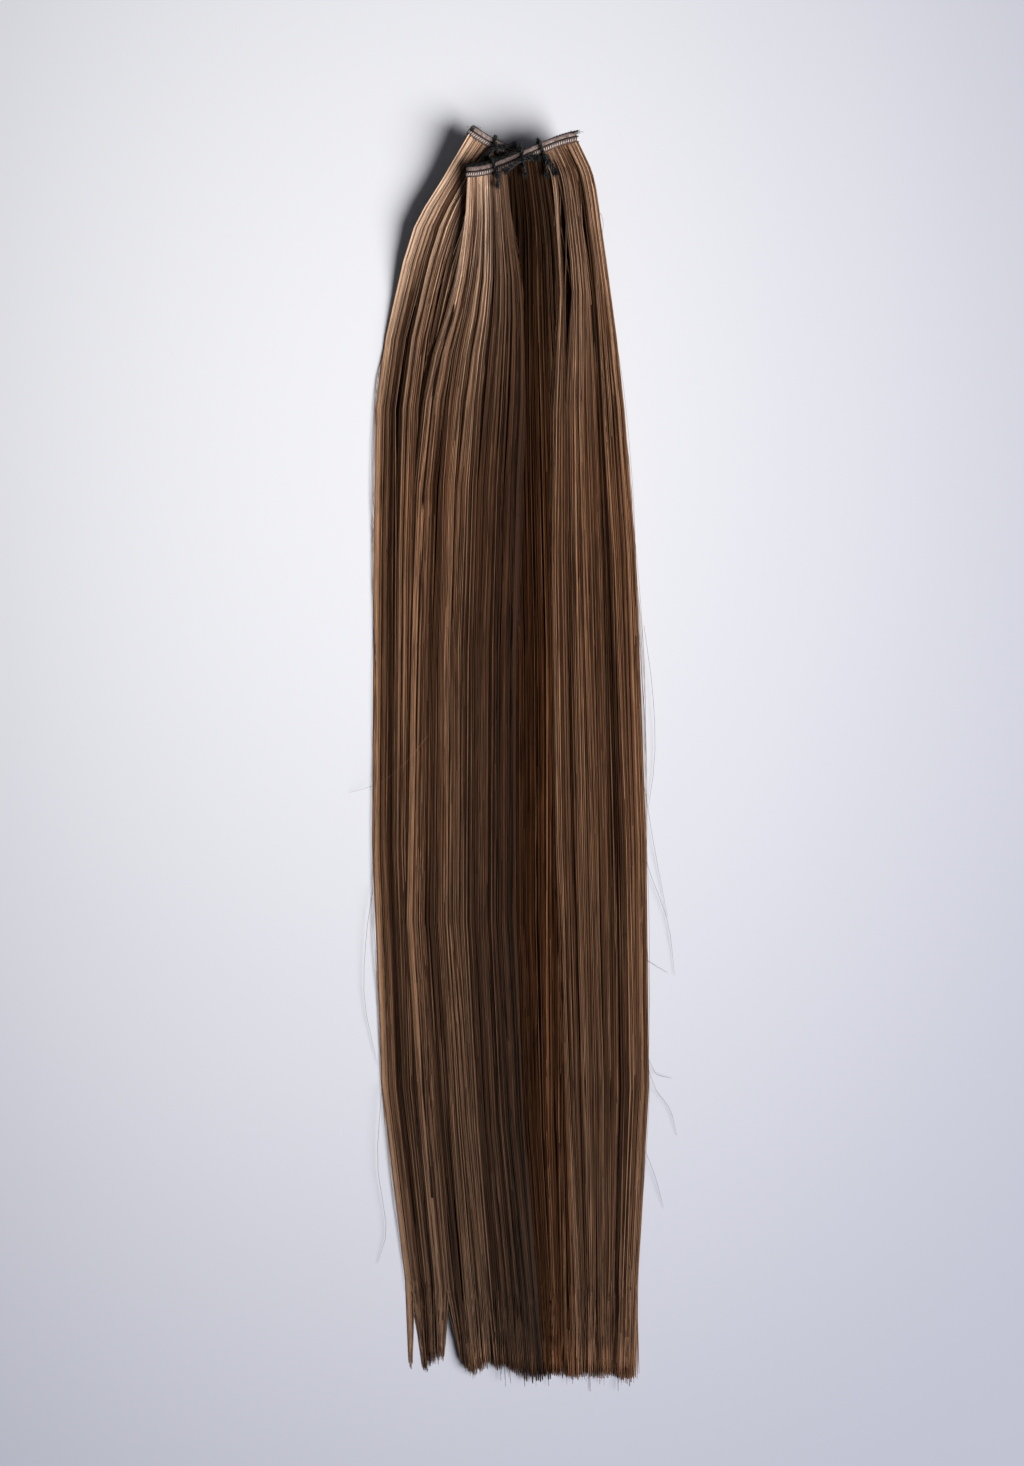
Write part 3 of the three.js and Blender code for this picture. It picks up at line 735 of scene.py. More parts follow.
RAY_START = 1.0  # height above and below the floor from which a sheet is measured
RAY_INSET = 0.2 * MM  # the outermost samples lie this far inside the edges
EDGE_THICKNESS = 0.08  # share of a sheet's thickness that is left at an edge that thins out
GROUNDED = ("hair_under", "hair_left")  # sheets whose left edge lies on the floor below the shoulder
GROUNDED_FROM = 245 * MM
GROUNDED_RUN = 65 * MM
GROUNDED_WIDTH = 14 * MM
GROUNDED_DROP = 0.97  # share of its height that the edge comes down


def triangles_of(node):
    """Vertices and triangles of a CAD node."""
    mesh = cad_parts[node].data
    mesh.calc_loop_triangles()
    points = np.zeros(len(mesh.vertices) * 3, np.float32)
    mesh.vertices.foreach_get("co", points)
    corners = np.zeros(len(mesh.loop_triangles) * 3, np.int32)
    mesh.loop_triangles.foreach_get("vertices", corners)
    return points.reshape(-1, 3).astype(float), corners.reshape(-1, 3)


def filled(samples):
    """A row of samples with its gaps filled from their neighbours."""
    known = ~np.isnan(samples)
    if not known.any():
        raise RuntimeError("a sheet of hair has no height at one of its stations")
    return np.interp(np.arange(len(samples)), np.flatnonzero(known), samples[known])


def softened(samples, passes=3):
    """A row of samples with its small steps smoothed."""
    for _ in range(passes):
        padded = np.pad(samples, 1, mode="edge")
        samples = padded[:-2] / 4 + padded[1:-1] / 2 + padded[2:] / 4
    return samples


def measured_sheet(node, stations):
    """Edges, underside and top of a CAD sheet of hair at stations along it."""
    points, corners = triangles_of(node)
    tree = BVHTree.FromPolygons(points.tolist(), corners.tolist())
    starts = points[corners].reshape(-1, 3)
    ends = points[np.roll(corners, -1, axis=1)].reshape(-1, 3)

    def height(x, y, way):
        hit = tree.ray_cast(Vector((x, y, -way * RAY_START)), Vector((0, 0, way)))[0]
        return np.nan if hit is None else hit.z

    edges, lows, highs = [], [], []
    for y in stations:
        crossing = (starts[:, 1] - y) * (ends[:, 1] - y) < 0
        part = (y - starts[crossing, 1]) / (ends[crossing, 1] - starts[crossing, 1])
        x = starts[crossing, 0] + part * (ends[crossing, 0] - starts[crossing, 0])
        left, right = x.min(), x.max()
        samples = np.linspace(left + RAY_INSET, right - RAY_INSET, ACROSS_SAMPLES)
        edges.append((left, right))
        for rows, way in ((lows, 1), (highs, -1)):
            rows.append(softened(filled(np.array([height(sample, y, way) for sample in samples]))))
    return np.array(edges), np.array(lows), np.array(highs)


def thinned(name, stations, edges, lows, highs):
    """Underside and top of a sheet that thins out at its edges and comes down at the far left."""
    width = (edges[:, 1] - edges[:, 0])[:, None]
    place = np.linspace(0, 1, ACROSS_SAMPLES)[None, :]
    thick = np.ones_like(lows)
    for slope, off in zip(SHEETS[name]["slopes"], (place * width, (1 - place) * width)):
        if slope:
            thick *= EDGE_THICKNESS + (1 - EDGE_THICKNESS) * np.clip(off / (MM * slope), 0, 1)
    ground = np.ones_like(lows)
    if name in GROUNDED:
        lying = eased((GROUNDED_FROM - stations) / GROUNDED_RUN)[:, None]
        ground = 1 - GROUNDED_DROP * lying * (1 - np.clip(place * width / GROUNDED_WIDTH, 0, 1))
    return lows * ground, lows * ground + (highs - lows) * thick


def between(rows, row, across):
    """Heights at row numbers with fractions and places from 0 to 1 across the samples."""
    row = np.clip(row, 0, len(rows) - 1)
    spot = np.clip(across, 0, 1) * (ACROSS_SAMPLES - 1)
    i = np.minimum(row.astype(int), len(rows) - 2)
    j = np.minimum(spot.astype(int), ACROSS_SAMPLES - 2)
    down, over = row - i, spot - j
    near = rows[i, j] * (1 - over) + rows[i, j + 1] * over
    far = rows[i + 1, j] * (1 - over) + rows[i + 1, j + 1] * over
    return near * (1 - down) + far * down


# Strands of hair

# Places in a sheet, as shares of its width and its thickness
WISP_EVENNESS = 2.2  # shape of the spread of the wisps' widths
IN_WISP = 0.36  # spread of the strands about the middle of their wisp, in widths of the wisp
BELOW_TOP = 0.2  # spread of the upper strands below the top
FROM_SIDE = 0.012  # spread of the strands at the two sides
ABOVE_FOOT = 0.15  # spread of the lower strands above the underside
EDGE_GAP = 0.002  # no strand lies nearer to an edge
TUFT_SHIFT = 0.3  # how far a tuft's middle may lie off, in widths of the tuft
UPPER = 0.5  # strands above this share of the thickness lie by the top, and the others by the underside
TOPMOST = 0.9  # strands above this share may rise out of the sheet

# Swings to the sides, in settings.wander, and radians of their waves from root to tip
STRAND_SWING = 0.45
STRAND_BEATS = (2, 9)
WISP_SWING = 0.6
WISP_BEATS = (2, 6)
TUFT_SWING = 0.5
TUFT_BEAT = 5
DRIFT_FROM = -100 * MM  # strands drift to the right from here
DRIFT_RUN = 180 * MM

# Heights
DEPTHS = 5  # upper strands lie up to this many times settings.depth under the top
STRAND_LIFT = 0.12 * MM
WISP_LIFT = 0.2 * MM  # of wisps and of tufts
LIFTED = 1.6 * MM  # a sheet this thick lets its wisps rise fully
LEAST_LIFT = 0.1  # share of the rise where a sheet is thin
LOWEST_ROW = 0.25 * MM
LOWEST_STRAND = 0.15 * MM

# Partings and edges
PARTING_SHAPE = 0.7  # power of the sine that a parting opens by
PARTING_REACH = 1.6  # how far strands beside a parting are drawn aside, in its widths
LEFT_MARGINS = [(-238, 1.7), (-150, 1.0), (-80, -0.3), (20, 1.4), (262, 1.7)]  # by y, in millimetres
RIGHT_MARGIN = 0.2 * MM  # strands lie these margins inside a sheet's edges
EDGE_SHARE = 0.07  # share of a sheet's width in which strands spill out
SPILL_FROM = 250 * MM
SPILL_RUN = 70 * MM
SPILL_DROP = 0.7  # how far spilled strands come down, in how far they lie out

# Roots
ROOT_DROP = 0.48  # from the band's middle line, in its heights
ROOT_SPREAD = 0.4  # in thicknesses of the band
FRONT_ROOTS = 0.55  # strands above this share of the thickness start at the top fold where that is bare

# Tips
TIP_SEED = 7
TIP_RUN = 45 * MM
TIP_LEAN = 0.6  # share of its slope that a strand keeps in its last run
TIP_SPREAD = 0.8 * MM
TIP_HEIGHT = 0.6  # height of a tip for the strand's height at the last station
TIP_WISP = 0.9 * MM  # width of the wisps that the hair ends in
TIP_LOCK = 4.5 * MM  # width of the locks that these wisps belong to
TIP_REACH = 80 * MM  # these run this far to both sides
LOCK_WAVE = 0.2  # how unevenly the locks divide, in their widths
IN_TIP_WISP = 0.45  # how far tips are drawn to the middle of their wisp
TIP_OVERHANG = 6 * MM  # no tip reaches further past the CAD solids
SHORTER_STRANDS = 0.6  # in settings.tip_scatter, as the next three
SHORTER_WISPS = 0.3
UNEVEN_LOCKS = 0.2
LONGER_STRANDS = 0.5
LONGER_SHARE = 0.03  # share of the strands that are longer
FEATHERING = 11  # how much more the ends of the hair differ in length at the far left
FEATHERED_FROM = -28 * MM
FEATHERED_RUN = 12 * MM

# Gaps between the locks at their tips in millimetres: where they lie across the hair, and their width.
TIP_GAPS = [(-46.5, 1.5), (-41.5, 4.5), (-26, 7.0), (-8, 1.2)]

# The line of the tips in millimetres: places across the hair, and how far down it reaches there.
TIP_LINE = [
    (-54, -270), (-47, -275), (-43, -279), (-38, -280), (-33, -277), (-27, -274), (-23, -278), (-18, -281),
    (-13, -279), (-9, -275.5), (-6, -278), (-1, -277.5), (3, -281), (11, -284.5), (20, -282), (30, -283),
    (60, -283),
]

# Spread of the shades and of the warmth
TONE_BLUR = 0.02  # in widths of the sheet
WISP_TONES = 0.15
STRAND_TONES = 0.25
TONE_SPREADS = (0.3, 1.2)  # times these spreads: for black hair, and added for white hair
WISP_WARMTHS = 0.12
STRAND_WARMTHS = 0.1
LEAST_WARMTH = 0.02

# Row numbers with fractions where a strand bends, close together near the band.
STRAND_PLACES = np.array([0, 0.4, 0.75, 1, 1.25, 1.6, 2, 2.5, 3, 3.5, 4.2, 5.2, 6.6, 8, 9, 9.85, 10])
STRAND_TAPER = ([0, 0.1, 0.985, 1], [0.8, 1, 1, 0.5])  # places from root to tip, and widths there
STRAND_WIDTHS = (0.72, 1.25)
STRAND_SIDES = 3

# The filling of a sheet, in the darkest tone as painted shade between the strands
CORE_TOP = 205 * MM  # it ends here, below the roots
CORE_TIP = -200 * MM  # and here, above the tips
CORE_MARGIN = 3 * MM  # and this far inside the sheet's edges
CORE_FOOT = 0.1 * MM
CORE_WARMTH = 0.5


def strand_places(sheet, rng):
    """Where each strand lies: its wisp, its place across the sheet and its share of the sheet's thickness."""
    count, wisps = sheet["strands"], sheet["wisps"]
    spans = rng.gamma(WISP_EVENNESS, 1, wisps)
    spans /= spans.sum()
    ends = np.cumsum(spans)
    chosen = rng.choice(wisps, count, p=spans)
    across = (ends - spans / 2)[chosen] + rng.normal(0, IN_WISP, count) * spans[chosen]
    up = 1 - np.abs(rng.normal(0, BELOW_TOP, count))
    kind = rng.uniform(0, 1, count)
    beside = kind < sheet["sides"]
    across[beside] = np.abs(rng.normal(0, FROM_SIDE, beside.sum()))
    right = beside & (rng.uniform(0, 1, count) < 0.5)
    across[right] = 1 - across[right]
    up[beside] = rng.uniform(0, 1, beside.sum())
    beneath = kind > 1 - sheet["beneath"]
    up[beneath] = np.abs(rng.normal(0, ABOVE_FOOT, beneath.sum()))
    across = np.clip(across, EDGE_GAP, 1 - EDGE_GAP)
    wisp = np.minimum(np.searchsorted(ends, across), wisps - 1)
    return wisp, across, np.clip(up, 0, 1)


def strand_sway(sheet, across, wisp, tuft, stations, settings, rng):
    """How far strands stray to the right at each station, alone and with their wisps and tufts."""
    count, wisps, tufts = len(across), sheet["wisps"], sheet["tufts"]
    travel = np.linspace(0, 1, len(stations))[None, :]
    strand_swing = rng.normal(0, STRAND_SWING, (count, 1))
    strand_beat = rng.uniform(*STRAND_BEATS, (count, 1))
    strand_phase = rng.uniform(0, FULL_TURN, (count, 1))
    wisp_beat = rng.uniform(*WISP_BEATS, wisps)[wisp][:, None]
    wisp_phase = rng.uniform(0, FULL_TURN, wisps)[wisp][:, None]
    wisp_swing = rng.normal(0, WISP_SWING, wisps)[wisp][:, None]
    tuft_phase = rng.uniform(0, FULL_TURN, tufts)[tuft][:, None]
    tuft_swing = rng.normal(0, TUFT_SWING, tufts)[tuft][:, None]
    sway = (
        strand_swing * np.sin(strand_beat * travel + strand_phase)
        + wisp_swing * np.sin(wisp_beat * travel + wisp_phase)
        + tuft_swing * np.sin(TUFT_BEAT * travel + tuft_phase)
    )
    pull = np.clip((DRIFT_FROM - stations) / DRIFT_RUN, 0, 1) ** 2
    return settings.wander * sway * np.sqrt(travel) + MM * from_table(sheet["drift"], across)[:, None] * pull


def parted(sheet, place, stations, width):
    """Places across a sheet with its strands drawn aside along its partings."""
    for middle, gap, top, bottom in sheet["partings"]:
        travel = np.clip((MM * top - stations) / (MM * (top - bottom)), 0, 1)
        open_share = MM * gap / 2 * np.sin(np.pi * travel) ** PARTING_SHAPE / width
        off = place - middle
        near = np.exp(-np.abs(off) / (PARTING_REACH * MM * gap / width))
        place = place + np.where(off < 0, -1, 1) * open_share * near
    return place


def strand_heights(sheet, up, wisp, tuft, low, high, settings, rng):
    """Heights of strands between the underside and the top of their sheet, with wisps that rise a little."""
    up = up[:, None]
    deep = high - np.minimum((1 - up) * DEPTHS * settings.depth, high - low)
    height = np.where(up > UPPER, deep, low + up * (high - low))
    lift = np.abs(rng.normal(0, STRAND_LIFT, up.shape)) * (up > TOPMOST)
    for count, member in ((sheet["wisps"], wisp), (sheet["tufts"], tuft)):
        lift = lift + rng.normal(0, WISP_LIFT, count)[member][:, None] * (up > UPPER)
    return height + lift * np.clip((high - low) / LIFTED, LEAST_LIFT, 1)


def spilled(sheet, across, stations, rng):
    """How far strands near the edges spill out to the right at each station."""
    out = np.zeros(len(across))
    for way, spill, near in zip((-1, 1), sheet["spill"], (across, 1 - across)):
        out += way * MM * spill * np.clip(1 - near / EDGE_SHARE, 0, 1) * rng.exponential(1, len(across))
    return out[:, None] * eased((SPILL_FROM - stations) / SPILL_RUN)


def strand_roots(sheet, across, up, rng):
    """Where the strands of a sheet leave the band."""
    first, last = sheet["folds"]
    count = len(across)
    fold = rng.integers(first, last + 1, count)
    x = MM * (sheet["roots"][0] + across * (sheet["roots"][1] - sheet["roots"][0]))
    bare_from = MM * SHEETS["hair_front_left"]["roots"][1]
    bare_to = MM * SHEETS["hair_front_right"]["roots"][0]
    if last == TOP_FOLD - 1:
        fold[(up > FRONT_ROOTS) & (x > bare_from) & (x < bare_to)] = TOP_FOLD
    root = np.empty((count, 3))
    for one in range(first, TOP_FOLD + 1):
        chosen = fold == one
        root[chosen, 0] = x[chosen]
        root[chosen, 1] = fold_y(one, x[chosen]) - ROOT_DROP * BAND_HEIGHT
        root[chosen, 2] = fold_z(one, x[chosen]) + (up[chosen] - 0.5) * ROOT_SPREAD * BAND_THICKNESS
    return root


def tip_ends(x, settings):
    """The middles of the wisps that strands end in, and how far down these wisps reach."""
    rng = np.random.default_rng([settings.seed, TIP_SEED])
    wisp = ((x + TIP_REACH) / TIP_WISP).astype(int)
    lock = ((x + TIP_REACH) / TIP_LOCK + LOCK_WAVE * np.sin(x / MM)).astype(int)
    wisp_short = rng.exponential(SHORTER_WISPS, int(2 * TIP_REACH / TIP_WISP) + 1)
    lock_short = rng.uniform(-UNEVEN_LOCKS, UNEVEN_LOCKS, int(2 * TIP_REACH / TIP_LOCK) + 2)
    short = settings.tip_scatter * (wisp_short[wisp] + lock_short[lock])
    return (wisp + 0.5) * TIP_WISP - TIP_REACH, MM * from_table(TIP_LINE, x / MM) + short


def strand_tips(body, stations, settings, rng):
    """Where strands end: in wisps of uneven length, with gaps between some locks."""
    count = len(body)
    slope = (body[:, -1, 0] - body[:, -2, 0]) / (stations[-1] - stations[-2])
    x = body[:, -1, 0] - TIP_LEAN * slope * TIP_RUN + rng.normal(0, TIP_SPREAD, count)
    wisp_middle, y = tip_ends(x, settings)
    x += IN_TIP_WISP * (wisp_middle - x)
    feathered = 1 + FEATHERING * np.clip((FEATHERED_FROM - x) / FEATHERED_RUN, 0, 1)
    y += settings.tip_scatter * feathered * rng.exponential(SHORTER_STRANDS, count)
    longer = rng.uniform(0, 1, count) < LONGER_SHARE
    y[longer] -= settings.tip_scatter * rng.exponential(LONGER_STRANDS, longer.sum())
    y = np.maximum(y, CAD_LOW.y - TIP_OVERHANG)
    for middle, gap in TIP_GAPS:
        off = x - MM * middle
        x += np.where(off < 0, -1, 1) * MM * gap / 2 * np.exp(-np.abs(off) / (MM * gap))
    return np.stack([x, y, body[:, -1, 2] * TIP_HEIGHT], axis=1)


def strand_shades(sheet, across, wisp, rng):
    """Shade and warmth of each strand."""
    count, wisps = len(across), sheet["wisps"]
    tone = from_table(sheet["tone"], across + rng.normal(0, TONE_BLUR, count))
    spread = TONE_SPREADS[0] + TONE_SPREADS[1] * tone
    tone += (rng.normal(0, WISP_TONES, wisps)[wisp] + rng.normal(0, STRAND_TONES, count)) * spread
    tone = np.clip(np.round(tone * TONE_COLUMNS), 0, TONE_COLUMNS - 1) / TONE_COLUMNS
    warmth = from_table(sheet["warmth"], across)
    warmth = warmth + rng.normal(0, WISP_WARMTHS, wisps)[wisp] + rng.normal(0, STRAND_WARMTHS, count)
    return tone, np.clip(warmth, LEAST_WARMTH, 1 - LEAST_WARMTH)


def strand_rows(name, settings, rng):
    """Control points of every strand of a sheet from root to tip, with each strand's shade and warmth."""
    sheet = SHEETS[name]
    stations = STATIONS[sheet["skip"]:]
    edges, lows, highs = measured_sheet(name, stations)
    lows, highs = thinned(name, stations, edges, lows, highs)
    width = edges[:, 1] - edges[:, 0]
    wisp, across, up = strand_places(sheet, rng)
    tufts = sheet["tufts"]
    tuft = np.minimum((across * tufts).astype(int), tufts - 1)
    tuft_centre = (tuft + 0.5 + rng.uniform(-TUFT_SHIFT, TUFT_SHIFT, tufts)[tuft]) / tufts
    sway = strand_sway(sheet, across, wisp, tuft, stations, settings, rng)
    lower_half = np.clip((np.linspace(0, 1, len(stations)) - 0.5) / 0.5, 0, 1)
    drawn = 1 - settings.clumping * lower_half**2
    place = tuft_centre[:, None] + (across - tuft_centre)[:, None] * drawn + sway / width
    place = np.clip(parted(sheet, place, stations, width), EDGE_GAP / 2, 1 - EDGE_GAP / 2)
    low, high = (between(rows, np.arange(len(stations)), place) for rows in (lows, highs))
    left_margin = MM * from_table(LEFT_MARGINS, stations / MM)
    body = np.empty((len(across), len(stations), 3))
    body[..., 0] = edges[:, 0] + left_margin + place * (width - left_margin - RIGHT_MARGIN)
    body[..., 1] = stations
    body[..., 2] = strand_heights(sheet, up, wisp, tuft, low, high, settings, rng)
    out = spilled(sheet, across, stations, rng)
    body[..., 0] += out
    body[..., 2] -= SPILL_DROP * np.abs(out)
    root = strand_roots(sheet, across, up, rng)
    tip = strand_tips(body, stations, settings, rng)
    rows = np.concatenate([root[:, None], body, tip[:, None]], axis=1)
    return raised(rows, LOWEST_ROW), *strand_shades(sheet, across, wisp, rng)


def hair_core(node, inset):
    """A filling for a sheet, dark as painted shade between the strands: its CAD solid, merged and drawn in.
    """
    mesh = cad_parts[node].data.copy()
    work = bmesh.new()
    work.from_mesh(mesh)
    bmesh.ops.remove_doubles(work, verts=work.verts, dist=1e-6)
    for place, outward in (((0, CORE_TOP, 0), (0, 1, 0)), ((0, CORE_TIP, 0), (0, -1, 0))):
        whole = work.verts[:] + work.edges[:] + work.faces[:]
        cut = bmesh.ops.bisect_plane(work, geom=whole, plane_co=place, plane_no=outward, clear_outer=True)
        rim = [edge for edge in cut["geom_cut"] if isinstance(edge, bmesh.types.BMEdge)]
        bmesh.ops.holes_fill(work, edges=rim)
    work.normal_update()
    points = np.array([vertex.co - vertex.normal * inset for vertex in work.verts])
    stations = STATIONS[SHEETS[node]["skip"]:]
    edges, lows, highs = measured_sheet(node, stations)
    numbers = np.arange(len(stations))
    row = np.interp(-points[:, 1], -stations, numbers)
    left, right = (np.interp(row, numbers, edges[:, side]) for side in (0, 1))
    across = (points[:, 0] - left) / (right - left)
    points[:, 0] += np.clip(0.5 - across, -0.5, 0.5) * 2 * CORE_MARGIN
    low, high = between(lows, row, across), between(highs, row, across)
    lows, highs = thinned(node, stations, edges, lows, highs)
    new_low, new_high = between(lows, row, across), between(highs, row, across)
    thick = np.maximum(high - low, CORE_FOOT)
    points[:, 2] = new_low + (points[:, 2] - low) * (new_high - new_low) / thick
    points[:, 2] = np.maximum(points[:, 2], CORE_FOOT)
    for vertex, place in zip(work.verts, points):
        vertex.co = place
    work.to_mesh(mesh)
    work.free()
    mesh.materials.clear()
    # Tone 0, the darkest hair: painted shade where the filling shows between strands.
    set_attribute(mesh, "tone", np.zeros(len(points)))
    set_attribute(mesh, "warmth", np.full(len(points), CORE_WARMTH))
    set_attribute(mesh, "along", (CAD_HIGH.y - points[:, 1]) / (CAD_HIGH.y - CAD_LOW.y))
    return new_object(f"{node}_core", mesh)


def strand_tubes(name, rows, tone, warmth, material, settings, rng, core):
    """One mesh of tapered strands along rows of control points, round a core."""
    last = rows.shape[1] - 1
    places = STRAND_PLACES * last / STRAND_PLACES[-1]
    paths = raised(smooth_curve(rows, places), LOWEST_STRAND)
    taper = np.interp(places / last, *STRAND_TAPER)
    radii = settings.strand_width / 2 * rng.uniform(*STRAND_WIDTHS, len(rows))[:, None] * taper[None, :]
    reach = (CAD_HIGH.y - paths[..., 1]) / (CAD_HIGH.y - CAD_LOW.y)
    mesh = guide_mesh(
        f"{name}_guides",
        list(paths),
        list(radii),
        tone=repeated(tone, len(places)),
        warmth=repeated(warmth, len(places)),
        along=list(np.clip(reach, 0, 1)),
    )
    piece = made_by(tube_tree(), name, mesh, {"Core": core, "Sides": STRAND_SIDES, "Material": material})
    shades = read_attribute(piece.data, "tone")
    warm = read_attribute(piece.data, "warmth")
    columns = (np.round(shades * TONE_COLUMNS) + warm) / TONE_COLUMNS
    map_by_vertex(piece.data, columns, read_attribute(piece.data, "along"))
    return piece


class WEFT_OT_hair(bpy.types.Operator):
    """Lay strands of hair over the sheets under the band"""

    bl_idname = "weft.hair"
    bl_label = "Hair"

    def execute(self, context):
        settings = context.scene.weft_hair
        for index, (node, sheet) in enumerate(SHEETS.items()):
            rng = np.random.default_rng([settings.seed, index])
            core = hair_core(node, settings.core_inset)
            rows, tone, warmth = strand_rows(node, settings, rng)
            material = hair_material(sheet["slot"])
            piece = strand_tubes(f"{node}_strands", rows, tone, warmth, material, settings, rng, core)
            bpy.data.objects.remove(core)
            finish_piece(piece, sheet["slot"], node)
        return {"FINISHED"}


# Band

# The band's outline, with places from 1 at its upper edge to -1 at its hem
OUTLINE_POINTS = 17  # on each face
SEAM_THICKNESS = 0.62  # share of the band's thickness where the seams draw it in
STRIP_SWELL = 0.4  # share that the strips between them add
STRIP_MIDDLE = 0.08
STRIP_HEIGHT = 0.98
STRIP_SHAPE = 0.6  # power of the sine that a strip swells by
EDGE_SHAPE = 8  # power of the curve that rounds both edges
EDGE_LEAST = 0.25  # share of the thickness at the edges

# Dark seams of the band: share of its half height, and half the seam's width as such a share.
BAND_SEAMS = [(1.0, 0.1), (0.06, 0.1), (-0.92, 0.07)]
SEAM_DARKNESS = 0.92
SEAM_SOFTNESS = 1.5  # where a seam has faded, in its widths

# Hairs across the band: how fast they change along and across it, scale and detail of random values, and
# ranges of these values or of places across the band with the looks there.
HAIRS_ALONG = 1000.0
HAIRS_ACROSS = 0.6
HAIR_NOISE = (2.6, 3.0)
PATCH_NOISE = (0.35, 1.0)
HAIR_STREAKS = (0.32, 0.66)
HAIR_PATCHES = (0.3, 0.7, 0.55, 1.0)
DARK_LOWER_STRIP = (-0.1, 0.2, 0.35, 1.0)
HAIR_GLOSS = (0.0, 1.0, 0.45, 0.7)

# Stitches: rows by share of the band's half height, and their sizes and ways.
STITCH_ROWS = {"stitches_top": 0.94, "stitches_middle": 0.06, "stitches_hem": -0.92}
STITCH_OVERLAP = 1.06  # length of a stitch in its spacing
WHIP_ROW = -0.42
WHIP_LEAN = 0.72  # 0 lies along the band and 1 across it
WHIP_WIDTH = 0.9  # in widths of the dark thread
WHIP_LENGTH = 0.3  # in heights of the band
THREAD_ROUGHNESS = 0.6
WHIP_ROUGHNESS = 0.5
CORD_ROUGHNESS = 0.62
FIBRE_NOISE = (2400.0, 2.0)  # scale and detail of the fibres in a thread
FIBRE_SHADES = (0.5, 1.6)  # darkest and lightest fibres, in the thread's colour
FIBRE_GLOSS = 0.12  # how far their roughness differs


def band_outline():
    """The band's outline across its height: two soft strips on each face, round at both edges."""
    shares = np.linspace(1, -1, OUTLINE_POINTS)
    wave = np.sin(np.pi * np.clip((shares - STRIP_MIDDLE) / STRIP_HEIGHT, -1, 1))
    strips = SEAM_THICKNESS + STRIP_SWELL * np.abs(wave) ** STRIP_SHAPE
    edge = np.sqrt(np.clip(1 - shares**EDGE_SHAPE, 0, 1))
    half = BAND_THICKNESS / 2 * strips * np.maximum(edge, EDGE_LEAST)
    front = np.stack([shares * BAND_HEIGHT / 2, half], axis=1)
    back = front[::-1] * np.array([1, -1])
    return np.concatenate([front, back]), np.concatenate([shares, shares[::-1]])


def band_mesh():
    """The folded band as one closed skin, with places along and across it."""
    place, _, up, face = band_course()
    outline, shares = band_outline()
    sides = len(outline)
    rings = place[:, None] + up[:, None] * outline[None, :, :1] + face[:, None] * outline[None, :, 1:]
    length = lengths_along(place)
    i, j = np.meshgrid(np.arange(len(place) - 1), np.arange(sides), indexing="ij")
    here = i * sides + j
    beside = i * sides + (j + 1) % sides
    quads = np.stack([here, beside, beside + sides, here + sides], axis=-1).reshape(-1, 4)
    last = (len(place) - 1) * sides
    faces = quads.tolist() + [list(range(sides))[::-1], list(range(last, last + sides))]
    mesh = bpy.data.meshes.new("band_ribbon")
    mesh.from_pydata(rings.reshape(-1, 3).tolist(), [], faces)
    set_attribute(mesh, "run", np.repeat(length, sides))
    set_attribute(mesh, "share", np.tile(shares, len(place)))
    mesh.polygons.foreach_set("use_smooth", np.ones(len(mesh.polygons), bool))
    around = np.tile(np.linspace(0, 1, sides), len(place))
    map_by_vertex(mesh, np.repeat(length / length[-1], sides), around)
    mesh.update()
    return mesh


def band_material():
    """Sewn hair ends: fine pale and dark hairs across the band, darker in its seams."""
    settings = bpy.context.scene.weft_band
    material, tree, shader = new_material("sewn_band")
    across = attribute(tree, "share")
    place = add_node(tree, "ShaderNodeCombineXYZ", {
        "X": product(tree, attribute(tree, "run"), HAIRS_ALONG),
        "Y": product(tree, across, HAIRS_ACROSS),
    })
    hairs = noise(tree, place.outputs[0], *HAIR_NOISE)
    patches = noise(tree, place.outputs[0], *PATCH_NOISE)
    light = product(
        tree,
        map_range(tree, hairs, *HAIR_STREAKS),
        map_range(tree, patches, *HAIR_PATCHES),
        map_range(tree, across, *DARK_LOWER_STRIP),
    )
    colour = mix_colours(tree, light, (*settings.deep, 1), (*settings.pale, 1))
    for seam, half_width in BAND_SEAMS:
        off = math_node(tree, "ABSOLUTE", math_node(tree, "SUBTRACT", across, seam))
        line = map_range(tree, off, half_width, SEAM_SOFTNESS * half_width, SEAM_DARKNESS, 0.0)
        colour = mix_colours(tree, line, colour, (*settings.thread, 1))
    bump = add_node(tree, "ShaderNodeBump", {"Height": hairs, "Strength": 0.5, "Distance": 0.15 * MM})
    fill_sockets(tree, shader, {
        "Base Color": colour,
        "Roughness": map_range(tree, hairs, *HAIR_GLOSS),
        "Normal": bump.outputs["Normal"],
    })
    return material


def thread_material(name, colour, roughness):
    """Spun thread with fine fibres and a soft sheen."""
    if name in bpy.data.materials:
        return bpy.data.materials[name]
    material, tree, shader = new_material(name)
    fibres = noise(tree, object_place(tree), *FIBRE_NOISE)
    dark, light = ((*(np.array(colour) * level).tolist(), 1) for level in FIBRE_SHADES)
    fill_sockets(tree, shader, {
        "Base Color": mix_colours(tree, fibres, dark, light),
        "Roughness": map_range(tree, fibres, 0.0, 1.0, roughness - FIBRE_GLOSS, roughness + FIBRE_GLOSS),
    })
    return material


def stitches(name, share_up, lay_up, spacing, size, material):
    """One row of stitches on each face of the band, at a share of its half height."""
    place, travel, up, face = band_course(fold_steps=40)
    outline, shares = band_outline()
    half = np.interp(-share_up, -shares[:OUTLINE_POINTS], outline[:OUTLINE_POINTS, 1])
    paths = [place + up * share_up * BAND_HEIGHT / 2 + face * side * half for side in (1, -1)]
    lays = [unit(travel * (1 - lay_up) + up * lay_up) for _ in paths]
    mesh = guide_mesh(f"{name}_rows", paths, [np.ones(len(path)) for path in paths], lay=lays)
    return made_by(stitch_tree(), name, mesh, {"Spacing": spacing, "Size": size, "Material": material})


